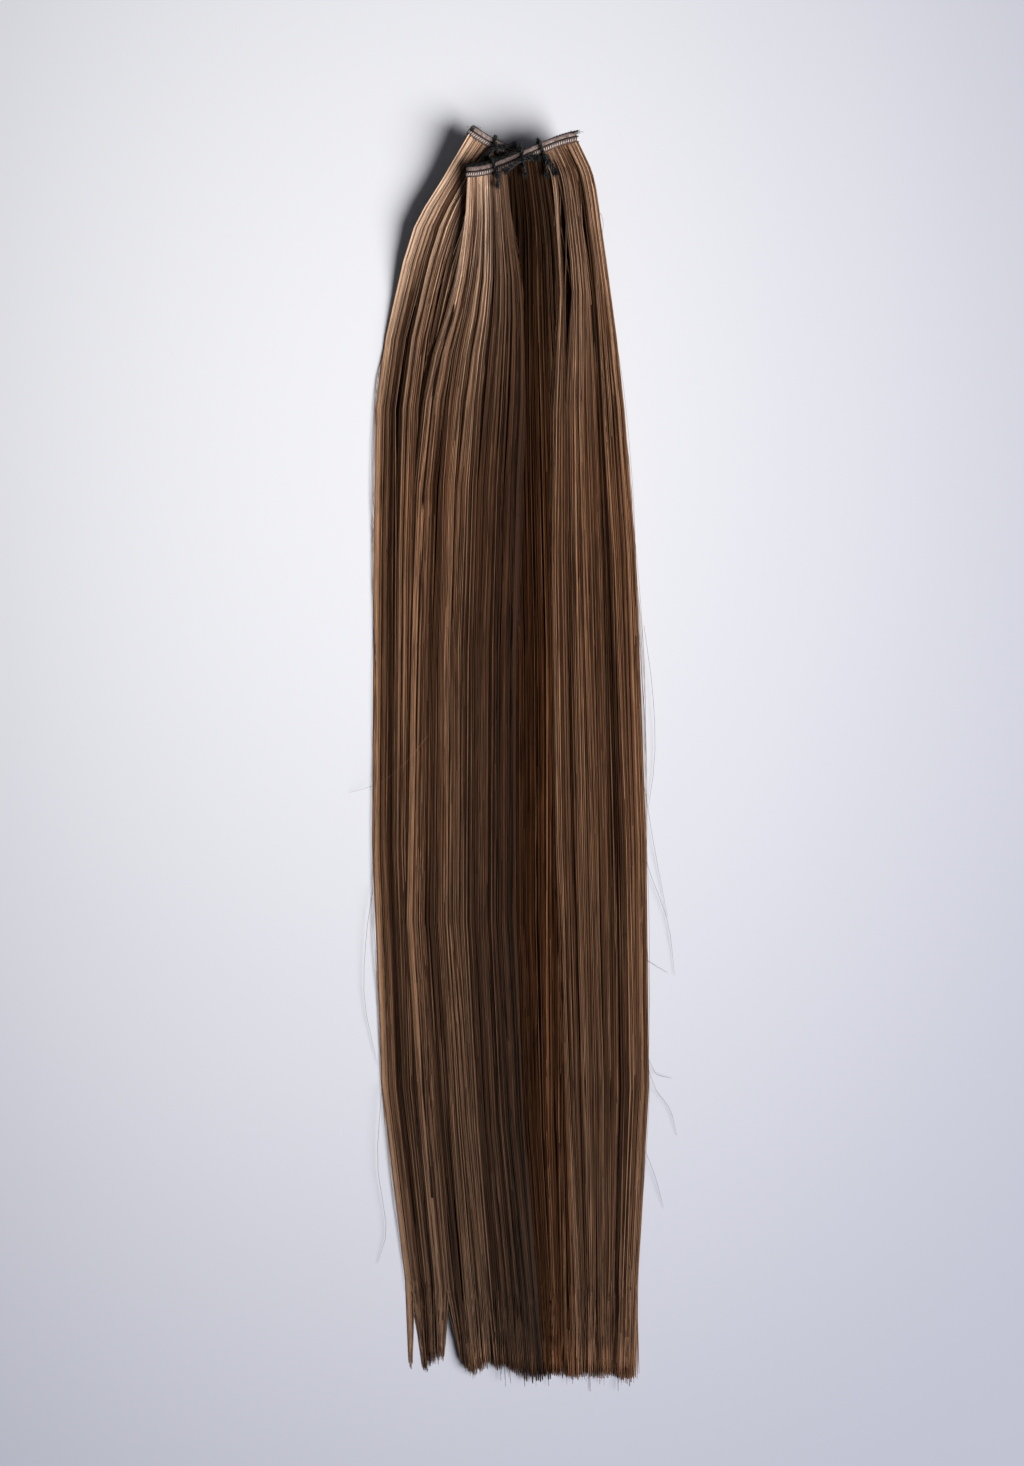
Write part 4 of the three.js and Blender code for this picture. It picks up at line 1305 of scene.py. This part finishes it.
class WEFT_OT_band(bpy.types.Operator):
    """Make the folded band with its rows of stitches"""

    bl_idname = "weft.band"
    bl_label = "Sewn band"

    def execute(self, context):
        settings = context.scene.weft_band
        mesh = band_mesh()
        mesh.materials.append(band_material())
        finish_piece(new_object("weft_band_ribbon", mesh), "band", "weft_band")
        thread = thread_material("sewing_thread", settings.thread, THREAD_ROUGHNESS)
        width = settings.thread_width
        size = (width, width, settings.stitch_length * STITCH_OVERLAP)
        for name, share_up in STITCH_ROWS.items():
            row = stitches(name, share_up, 0.0, settings.stitch_length, size, thread)
            finish_piece(row, "band")
        whip = thread_material("whip_thread", settings.whip, WHIP_ROUGHNESS)
        size = (width * WHIP_WIDTH, width * WHIP_WIDTH, BAND_HEIGHT * WHIP_LENGTH)
        row = stitches("stitches_whip", WHIP_ROW, WHIP_LEAN, settings.whip_spacing, size, whip)
        finish_piece(row, "band")
        return {"FINISHED"}


# Tying cords

TIE_SEED = 31
CORD_STEP = 0.5 * MM
CORD_BEND = 1.5 * MM
BEND_SHARE = 0.29  # how far a bend's middle lies from its corner, in bends
WAIST = 0.36  # share of the loop's height from its top to its waist
KNOT_RISE = 0.5 * MM
KNOT_RUN = 2 * MM  # how far the loop lies flat behind the knot
KNOT_STEP = 0.4 * MM
KNOT_TURNS = 1.8
KNOT_POINTS = 40
KNOT_LENGTH = 1.9 * MM
KNOT_RADIUS = 1.05 * MM
KNOT_FLATNESS = 0.78
KNOT_PHASE = 1.0
PLY_OFFSET = 0.8  # from the cord's middle, in radii of a ply
PLY_END = 0.7  # width of a ply at its end, in its whole width
PLY_GROWTH = 0.15  # what each further point adds to that
PLY_SIDES = 7
TAIL_SPACING = 1.15 * MM  # between the cords of a tail
TAIL_EASE = 0.4  # share of that spacing at the knot
TAIL_PHASES = (0, 3)
CORD_FLOOR = 0.2 * MM  # no cord or fibre lies lower
LOOP_END_DROP = 0.2 * MM  # a loop ends this far under its start

# Loose fibres: how many stand off each stretch of cord, and their lengths
LOOP_FUZZ = (160, 1.0 * MM)
KNOT_FUZZ = (50, 0.9 * MM)
TAIL_FUZZ = (40, 1.0 * MM)
FUZZ_START = 0.55 * MM
FUZZ_SLANT = 1.2  # spread of how far these slant along the cord
FUZZ_LENGTHS = (0.4, 1.2)  # shares of their length
FUZZ_BOW = 0.1 * MM
FRAYED_FIBRES = 90  # at each cord's end
FRAYED_START = 0.3 * MM  # spread of their starts
FRAYED_BACK = (0.2, 1.2)  # how far behind the end they start, in millimetres
FRAYED_SPREAD = 0.3  # spread of their directions
FRAYED_LENGTH = 2.6 * MM
FRAYED_LENGTHS = (0.6, 1.15)  # shares of that length
FRAYED_BOW = 0.22 * MM
FIBRE_TAPER = np.array([1, 1, 0.9, 0.7, 0.35])
FIBRE_SIDES = 3


def tie_loop(tie):
    """The loop of a cord round its folds, from its knot and back to it, and the knot's place."""
    first, last = tie["folds"]
    x = MM * tie["x"]
    knot_y = MM * tie["knot_y"]
    run = [float(fold_y(fold, np.array(x))) for fold in range(first, last + 1)]
    middle = run[-1]
    slant = fold_direction(last, np.array([x]))[0, 0]
    reach = BAND_HEIGHT / 2 / slant + CORD_RADIUS + 2 * CORD_CLEARANCE
    lowest = CORD_RADIUS + CORD_CLEARANCE / 2
    low = max(float(fold_z(first, np.array(x))) - BAND_THICKNESS / 2 - lowest, lowest)
    high = float(fold_z(last, np.array(x))) + BAND_THICKNESS / 2 + CORD_RADIUS + CORD_CLEARANCE
    front = min(run) - reach
    back = max(run) + reach
    waist = high + (low - high) * WAIST

    def corner(y, z, in_y, in_z):
        part = CORD_BEND * BEND_SHARE
        return [(y, z + in_z * CORD_BEND), (y + in_y * part, z + in_z * part), (y + in_y * CORD_BEND, z)]

    over = corner(middle - reach, high, 1, -1)
    profile = [
        (middle + knot_y, high),
        (middle + max(0, knot_y + KNOT_RUN), high),
        *corner(middle + reach, high, -1, -1)[::-1],
        (back, waist),
        *corner(back, low, -1, 1),
        ((front + back) / 2, low),
        *corner(front, low, 1, 1)[::-1],
        (front, waist),
        *(over[:1] if knot_y < -reach else over),
        (middle + knot_y, high - LOOP_END_DROP),
    ]
    points = np.array([(x + tie["lean"] * (y - middle), y, z) for y, z in profile])
    rise = KNOT_RISE if knot_y > -reach else 0
    return points, points[0] + rise * UP


def plies(path, settings, phase=0.0):
    """Two twisted plies along a path."""
    side, over = sides_along(path)
    turn = FULL_TURN * lengths_along(path)[:, None] / settings.ply_pitch + phase
    off = PLY_OFFSET * settings.ply_radius
    return [path + off * (np.cos(turn + start) * side + np.sin(turn + start) * over) for start in (0, np.pi)]


def knot_wraps(knot, axis):
    """The turns of a knot: cord wound about the way that the loop runs."""
    axis = unit(axis)
    side = unit(np.cross(axis, UP))
    over = np.cross(side, axis)
    turn = np.linspace(0, FULL_TURN * KNOT_TURNS, KNOT_POINTS)[:, None]
    drift = (turn / turn[-1] - 0.5) * KNOT_LENGTH
    return knot + axis * drift + (np.cos(turn) * side + KNOT_FLATNESS * np.sin(turn) * over) * KNOT_RADIUS


def bowed(start, end, bow):
    """A fibre that bows out at its middle."""
    return np.array([start, (start + end) / 2 + bow, end])


def frayed(end, direction, rng):
    """Fibres that fan out from a cord's end."""
    direction = unit(direction)
    fibres = []
    for _ in range(FRAYED_FIBRES):
        aim = unit(direction + rng.normal(0, FRAYED_SPREAD, 3))
        start = end + rng.normal(0, FRAYED_START, 3) - direction * rng.uniform(*FRAYED_BACK) * MM
        far = start + aim * FRAYED_LENGTH * rng.uniform(*FRAYED_LENGTHS)
        fibres.append(bowed(start, far, rng.normal(0, FRAYED_BOW, 3)))
    return fibres


def fuzz(path, count, length, rng):
    """Short loose fibres that stand off a cord."""
    fibres = []
    along = unit(np.gradient(path, axis=0))
    for spot in rng.integers(0, len(path), count):
        out = rng.normal(0, 1, 3)
        out = unit(out - along[spot] * np.dot(out, along[spot]))
        start = path[spot] + out * FUZZ_START
        aim = unit(out + along[spot] * rng.normal(0, FUZZ_SLANT))
        far = start + aim * length * rng.uniform(*FUZZ_LENGTHS)
        fibres.append(bowed(start, far, out * FUZZ_BOW))
    return fibres


def cord_piece(name, cords, fibres, material, settings):
    """One mesh of thick plies and thin fibres."""
    paths = [raised(path, CORD_FLOOR + settings.ply_radius) for path in cords]
    radii = []
    for path in paths:
        ends = np.minimum(np.arange(len(path)), np.arange(len(path))[::-1])
        radii.append(settings.ply_radius * np.clip(PLY_END + PLY_GROWTH * ends, PLY_END, 1))
    plies_mesh = guide_mesh(f"{name}_plies", paths, radii)
    curves = []
    for fibre in fibres:
        places = np.linspace(0, len(fibre) - 1, len(FIBRE_TAPER))
        curves.append(smooth_curve(raised(fibre, CORD_FLOOR), places))
    widths = [settings.fibre_width / 2 * FIBRE_TAPER for _ in curves]
    fibre_mesh = guide_mesh(f"{name}_fibres", curves, widths)
    core = made_by(tube_tree(), f"{name}_core", plies_mesh, {"Sides": PLY_SIDES, "Material": material})
    piece = made_by(tube_tree(), name, fibre_mesh, {"Core": core, "Sides": FIBRE_SIDES, "Material": material})
    bpy.data.objects.remove(core)
    return piece


class WEFT_OT_ties(bpy.types.Operator):
    """Make the plied cords that tie the folds, with their knots and frayed ends"""

    bl_idname = "weft.ties"
    bl_label = "Tying cords"

    def execute(self, context):
        settings = context.scene.weft_ties
        material = thread_material("tying_cord", settings.black, CORD_ROUGHNESS)
        for index, (node, tie) in enumerate(TIES.items()):
            rng = np.random.default_rng([TIE_SEED, index])
            loop, knot = tie_loop(tie)
            path = evenly_spaced(loop, CORD_STEP)
            cords = plies(path, settings)
            fibres = fuzz(path, *LOOP_FUZZ, rng)
            wraps = evenly_spaced(knot_wraps(knot, loop[1] - loop[0]), KNOT_STEP)
            cords += plies(wraps, settings, KNOT_PHASE)
            fibres += fuzz(wraps, *KNOT_FUZZ, rng)
            for strands, steps in tie["tails"]:
                line = evenly_spaced(np.vstack([knot, knot + MM * np.array(steps)]), CORD_STEP)
                beside = unit(np.cross(line[-1] - line[0], UP))
                ease = np.linspace(TAIL_EASE, 1, len(line))[:, None]
                for strand in range(strands):
                    shift = (strand - (strands - 1) / 2) * TAIL_SPACING
                    tail = line + beside * shift * ease
                    cords += plies(tail, settings, rng.uniform(*TAIL_PHASES))
                    fibres += fuzz(tail, *TAIL_FUZZ, rng)
                    fibres += frayed(tail[-1], tail[-1] - tail[-4], rng)
            piece = cord_piece(f"{node}_cord", cords, fibres, material, settings)
            finish_piece(piece, "cord", node)
        return {"FINISHED"}


# Loose threads and stray hairs

# Black thread ends along the top fold's upper edge, and at two ends of the band
THREAD_SEED = 53
EDGE_ENDS = (-19, 3, 420)  # from and to, in millimetres, and how many
EDGE_END_OUT = 0.46  # from the fold's middle line, in heights of the band
EDGE_END_HEIGHTS = (-0.4, 0.7)  # in millimetres, as are the lengths
EDGE_END_LENGTHS = (0.8, 2.2)
EDGE_END_BOW = 0.15 * MM
FOLD_ENDS = ((TOP_FOLD, RIGHT_X[TOP_FOLD]), (RAISED_FOLD, LEFT_X[RAISED_FOLD]))
FOLD_END_FIBRES = 60
FOLD_END_LENGTHS = (0.5, 1.4)
FOLD_END_BOW = 0.2 * MM

# A yarn along the left of that edge, whose black is partly painted shade along the edge, and short bumps of
# thread along its right
YARN_PLACES = np.linspace(-17.5, 4.5, 45) * MM
YARN_FUZZ = (260, 1.3 * MM)
YARN_RISE = 0.2 * MM
YARN_OUT = 0.5 * MM
YARN_WAVE = 0.25 * MM
YARN_WAVELENGTH = 1.7 * MM
BUMP_PLACES = np.arange(20, 30.5, 1.3) * MM
BUMP_LENGTH = 1.0 * MM
BUMP_POINTS = 5
BUMP_RISES = (0.3, 0.7)  # in millimetres


class WEFT_OT_loose_threads(bpy.types.Operator):
    """Scatter the black thread ends on the band's edges"""

    bl_idname = "weft.loose_threads"
    bl_label = "Loose threads"

    def execute(self, context):
        settings = context.scene.weft_ties
        material = thread_material("tying_cord", settings.black, CORD_ROUGHNESS)
        rng = np.random.default_rng(THREAD_SEED)
        fibres = []
        for x in rng.uniform(*EDGE_ENDS) * MM:
            off = np.array([0, EDGE_END_OUT * BAND_HEIGHT, rng.uniform(*EDGE_END_HEIGHTS) * MM])
            start = fold_points(TOP_FOLD, np.array(x)) + off
            aim = unit(np.array([rng.normal(-0.5, 0.6), rng.uniform(0.2, 1), rng.uniform(-0.3, 0.7)]))
            far = start + aim * rng.uniform(*EDGE_END_LENGTHS) * MM
            fibres.append(bowed(start, far, rng.normal(0, EDGE_END_BOW, 3)))
        for fold, end_x in FOLD_ENDS:
            end = fold_points(fold, end_x)
            for _ in range(FOLD_END_FIBRES):
                off = np.array([rng.normal(0, 1.2), rng.uniform(1.2, 2.6), rng.uniform(-0.8, 0.9)])
                start = end + MM * off
                far = start + unit(rng.normal(0, 1, 3)) * rng.uniform(*FOLD_END_LENGTHS) * MM
                fibres.append(bowed(start, far, rng.normal(0, FOLD_END_BOW, 3)))
        # Black yarn and fuzz, partly real fibres and partly painted shade along the fold's edge.
        yarn = fold_points(TOP_FOLD, YARN_PLACES)
        yarn[:, 1] += BAND_HEIGHT / 2 + YARN_OUT + YARN_WAVE * np.sin(YARN_PLACES / YARN_WAVELENGTH)
        yarn[:, 2] += YARN_RISE
        fibres += fuzz(yarn, *YARN_FUZZ, rng)
        cords = plies(yarn, settings)
        for x in BUMP_PLACES:
            bump = fold_points(TOP_FOLD, x + np.linspace(-0.5, 0.5, BUMP_POINTS) * BUMP_LENGTH)
            bump[:, 1] += BAND_HEIGHT / 2
            bump[:, 2] += rng.uniform(*BUMP_RISES) * MM
            cords.append(bump)
        piece = cord_piece("loose_threads", cords, fibres, material, settings)
        finish_piece(piece, "cord")
        return {"FINISHED"}


# Single stray hairs that leave the outline, in millimetres along each hair.
STRAYS = [
    [(55, 20), (60, -6), (66, -42), (72, -73)],
    [(58, -30), (63, -50), (72, -75), (75, -99)],
    [(36, -60), (46, -72), (60, -90), (72, -98)],
    [(58, -120), (66, -143), (74, -146)],
    [(60, -130), (66, -150), (73, -160), (76, -172)],
    [(58, -170), (66, -190), (70, -205)],
    [(38, 250), (42, 246), (42, 238), (37, 232)],
    [(-58, -150), (-60, -185), (-56, -215), (-60, -230)],
    [(-62, -60), (-65, -80), (-66, -110), (-60, -140)],
    [(61, 60), (65, 30), (66, 0), (62, -30)],
]
STRAY_SEED = 99
STRAY_HEIGHTS = (3.0, 0.6)  # of a stray hair's root and tip, in millimetres
STRAY_POINTS = 9
STRAY_WIDTH = 0.26  # radius of a stray hair in widths of a strand
STRAY_TAPER = ([0, 6, 8], [1, 0.9, 0.4])  # points, and widths there
STRAY_TONE = 0.4
# Tone of the crossing hair and of the hairs along the edges; on the latter this pale tone is partly painted
# light.
PALE_TONE = 0.95
STRAY_TONES = (-0.1, 0.05)  # how far these tones may differ
STRAY_WARMTHS = (0.3, 0.8)
STRAY_REACH = (0.3, 0.9)  # the part of the hair's length that a stray hair takes its looks from

# A pale hair that lies across the others, with heights.
CROSSING_HAIR = [(-37, 10, 10.5), (-43, 2, 10.5), (-52, -7, 8.5), (-61, -12.5, 4.5), (-73, -16, 0.6)]

# Single hairs along the outer edges, pale as partly painted light where light shines through them: sheet,
# side, number, and in millimetres how far inside the edge they start, how far out they bow from there and
# their greatest height.
RIMS = [("hair_left", 0, 24, 1.9, 2.6, 1.1), ("hair_front_right", 1, 18, 0.6, 2, 3)]
RIM_MIDDLES = (-215, 185)  # along the hair, in millimetres
RIM_REACHES = (20, 65)  # from there to both ends
RIM_BOW = np.sin(np.linspace(0.3, 2.8, STRAY_POINTS))  # at the points of a hair
RIM_BOWS = (0.2, 1)  # shares of the bow that hairs take
RIM_HEIGHTS = (0.3, 1)  # and of the height


class WEFT_OT_strays(bpy.types.Operator):
    """Add single hairs that stray from the outline"""

    bl_idname = "weft.strays"
    bl_label = "Stray hairs"

    def execute(self, context):
        settings = context.scene.weft_hair
        rng = np.random.default_rng([settings.seed, STRAY_SEED])
        paths = [np.column_stack([stray, np.linspace(*STRAY_HEIGHTS, len(stray))]) for stray in STRAYS]
        paths.append(np.array(CROSSING_HAIR))
        rows = [smooth_curve(MM * path, np.linspace(0, len(path) - 1, STRAY_POINTS)) for path in paths]
        for node, side, number, inset, bow, height in RIMS:
            edges, _, _ = measured_sheet(node, STATIONS)
            for _ in range(number):
                middle = rng.uniform(*RIM_MIDDLES) * MM
                reach = rng.uniform(*RIM_REACHES) * MM
                y = np.linspace(middle + reach, middle - reach, STRAY_POINTS)
                edge = np.interp(-y, -STATIONS, edges[:, side])
                inside = MM * (inset - rng.uniform(*RIM_BOWS) * bow * RIM_BOW)
                x = edge - inside if side else edge + inside
                z = np.full(STRAY_POINTS, rng.uniform(*RIM_HEIGHTS) * height * MM)
                rows.append(np.column_stack([x, y, z]))
        count = len(rows)
        taper = np.interp(np.arange(STRAY_POINTS), *STRAY_TAPER)
        radii = [settings.strand_width * STRAY_WIDTH * taper for _ in rows]
        base_tone = np.where(np.arange(count) < len(STRAYS), STRAY_TONE, PALE_TONE)
        tone = base_tone + rng.uniform(*STRAY_TONES, count)
        warmth = rng.uniform(*STRAY_WARMTHS, count)
        mesh = guide_mesh(
            "stray_guides",
            rows,
            radii,
            tone=repeated(tone, STRAY_POINTS),
            warmth=repeated(warmth, STRAY_POINTS),
            along=[np.linspace(*STRAY_REACH, STRAY_POINTS) for _ in rows],
        )
        values = {"Sides": STRAND_SIDES, "Material": hair_material("hair_light")}
        piece = made_by(tube_tree(), "stray_hairs", mesh, values)
        finish_piece(piece, "hair_light")
        return {"FINISHED"}


# Stage

KEY_WAY = Vector((1.0, -0.5, 0.95)).normalized()  # from the middle of the picture to the lamp
KEY_TARGET = Vector((0, 0.1, 0))
KEY_DISTANCE = 3
KEY_WIDTH = 2.2
KEY_WATTS = 159
KEY_COLOUR = (1.0, 0.99, 0.97)
STUDIO_COLOUR = (0.86, 0.9, 1.0, 1)
STUDIO_LIGHT = 0.06  # strength of the light from all round
STUDIO_SEEN = 0.6  # brightness of the studio behind the floor
SENSOR = 36
CAMERA_X = 1.1 * MM
CAMERA_Y = 11.1 * MM

# The floor: a painted pool of light with a painted darker edge, and a painted glow far outside the picture,
# where no lamp reaches.
PAPER_SHADE = 0.985
PAPER_NOISE = (3.0, 2.0)  # scale and detail
POOL_PLACE = (0.117, -0.2, 0)
POOL_STRETCH = (1.38, 1, 1)
POOL_REACH = 0.73
POOL_EDGE = (0.42, 0.43, 0.5)  # shares of the floor's colour
GLOW_RANGE = (0.44, 1.6)  # distances from the middle
FAR_FLOOR_GLOW = (0.52, 0.54, 0.62, 1)
BLACK = (0, 0, 0, 1)


def floor_material(colour):
    """Smooth pale paper with the faintest unevenness, in a painted pool of light with a painted glow far out.
    """
    material, tree, shader = new_material("pale_floor")
    spot = object_place(tree)

    def fall(place, *reach):
        off = add_node(tree, "ShaderNodeVectorMath", {0: place}, operation="LENGTH")
        return map_range(tree, off.outputs["Value"], *reach, interpolation_type="SMOOTHSTEP")

    darker = tuple(part * PAPER_SHADE for part in colour)
    paper = mix_colours(tree, noise(tree, spot, *PAPER_NOISE), (*darker, 1), (*colour, 1))
    stretch = {"Vector": spot, "Location": POOL_PLACE, "Scale": POOL_STRETCH}
    pool = add_node(tree, "ShaderNodeMapping", stretch)
    edge = tuple(level * part for level, part in zip(POOL_EDGE, colour))
    # Painted pool of light: the floor's colour darkens towards the pool's edge.
    pooled = mix_colours(tree, fall(pool.outputs[0], 0.0, POOL_REACH), paper, (*edge, 1))
    glow = fall(spot, *GLOW_RANGE)
    fill_sockets(tree, shader, {
        "Base Color": mix_colours(tree, glow, pooled, BLACK),
        # Painted glow: the far floor shines where no lamp reaches.
        "Emission Color": mix_colours(tree, glow, BLACK, FAR_FLOOR_GLOW),
        "Emission Strength": 1.0,
        "Roughness": 0.75,
        "Specular IOR Level": 0.2,
    })
    return material


def add_floor(settings):
    """The floor that the hair lies on."""
    half = settings.floor_side / 2
    mesh = bpy.data.meshes.new("floor")
    corners = [(-half, -half, 0), (half, -half, 0), (half, half, 0), (-half, half, 0)]
    mesh.from_pydata(corners, [], [(0, 1, 2, 3)])
    mesh.materials.append(floor_material(settings.floor))
    new_object("floor", mesh)


def add_key_light():
    """A round soft light that looks at the hair."""
    light = bpy.data.lights.new("key", "AREA")
    light.shape = "DISK"
    light.size = KEY_WIDTH
    light.energy = KEY_WATTS
    light.color = KEY_COLOUR
    lamp = new_object("key", light)
    lamp.location = KEY_TARGET + KEY_WAY * KEY_DISTANCE
    lamp.rotation_mode = "QUATERNION"
    lamp.rotation_quaternion = (-KEY_WAY).to_track_quat("-Z", "Y")


def add_studio():
    """Faint light from all round, in a studio that is brighter to look at."""
    world = bpy.data.worlds.new("studio")
    world.use_nodes = True
    tree = world.node_tree
    seen = add_node(tree, "ShaderNodeLightPath").outputs["Is Camera Ray"]
    fill_sockets(tree, tree.nodes["Background"], {
        "Color": STUDIO_COLOUR,
        "Strength": math_node(tree, "MULTIPLY_ADD", seen, STUDIO_SEEN - STUDIO_LIGHT, STUDIO_LIGHT),
    })
    bpy.context.scene.world = world


def add_camera(settings):
    """The camera straight above."""
    camera = bpy.data.cameras.new("camera")
    camera.sensor_width = SENSOR
    camera.lens = SENSOR * settings.camera_height / settings.picture_height
    eye = new_object("camera", camera)
    eye.location = (CAMERA_X, CAMERA_Y, settings.camera_height)
    bpy.context.scene.camera = eye


class WEFT_OT_stage(bpy.types.Operator):
    """Set the floor, the soft lights and the camera straight above"""

    bl_idname = "weft.stage"
    bl_label = "Floor, lights and camera"

    def execute(self, context):
        add_floor(context.scene.weft_stage)
        add_key_light()
        add_studio()
        add_camera(context.scene.weft_stage)
        context.scene.view_settings.view_transform = "Standard"
        return {"FINISHED"}


class WEFT_PT_panel(bpy.types.Panel):
    """Steps that make the weft hair extension"""

    bl_idname = "WEFT_PT_panel"
    bl_label = "Weft Hair Extension"
    bl_space_type = "VIEW_3D"
    bl_region_type = "UI"
    bl_category = "Weft Hair"

    def draw(self, context):
        for operator in OPERATORS:
            self.layout.operator(operator.bl_idname)
        for group in SETTINGS:
            settings = getattr(context.scene, group)
            box = self.layout.box()
            for name in settings.bl_rna.properties.keys():
                if name not in ("rna_type", "name"):
                    box.prop(settings, name)


SETTINGS = {
    "weft_hair": WeftHairSettings,
    "weft_band": WeftBandSettings,
    "weft_ties": WeftTieSettings,
    "weft_stage": WeftStageSettings,
}
OPERATORS = (
    WEFT_OT_stage,
    WEFT_OT_band,
    WEFT_OT_ties,
    WEFT_OT_hair,
    WEFT_OT_loose_threads,
    WEFT_OT_strays,
)


def register():
    for one in (*SETTINGS.values(), *OPERATORS, WEFT_PT_panel):
        bpy.utils.register_class(one)
    for name, group in SETTINGS.items():
        setattr(bpy.types.Scene, name, PointerProperty(type=group))


def unregister():
    for name in SETTINGS:
        delattr(bpy.types.Scene, name)
    for one in reversed((*SETTINGS.values(), *OPERATORS, WEFT_PT_panel)):
        bpy.utils.unregister_class(one)


def main():
    register()
    bpy.ops.weft.stage()
    bpy.ops.weft.band()
    bpy.ops.weft.ties()
    bpy.ops.weft.hair()
    bpy.ops.weft.loose_threads()
    bpy.ops.weft.strays()


if __name__ == "__main__":
    main()
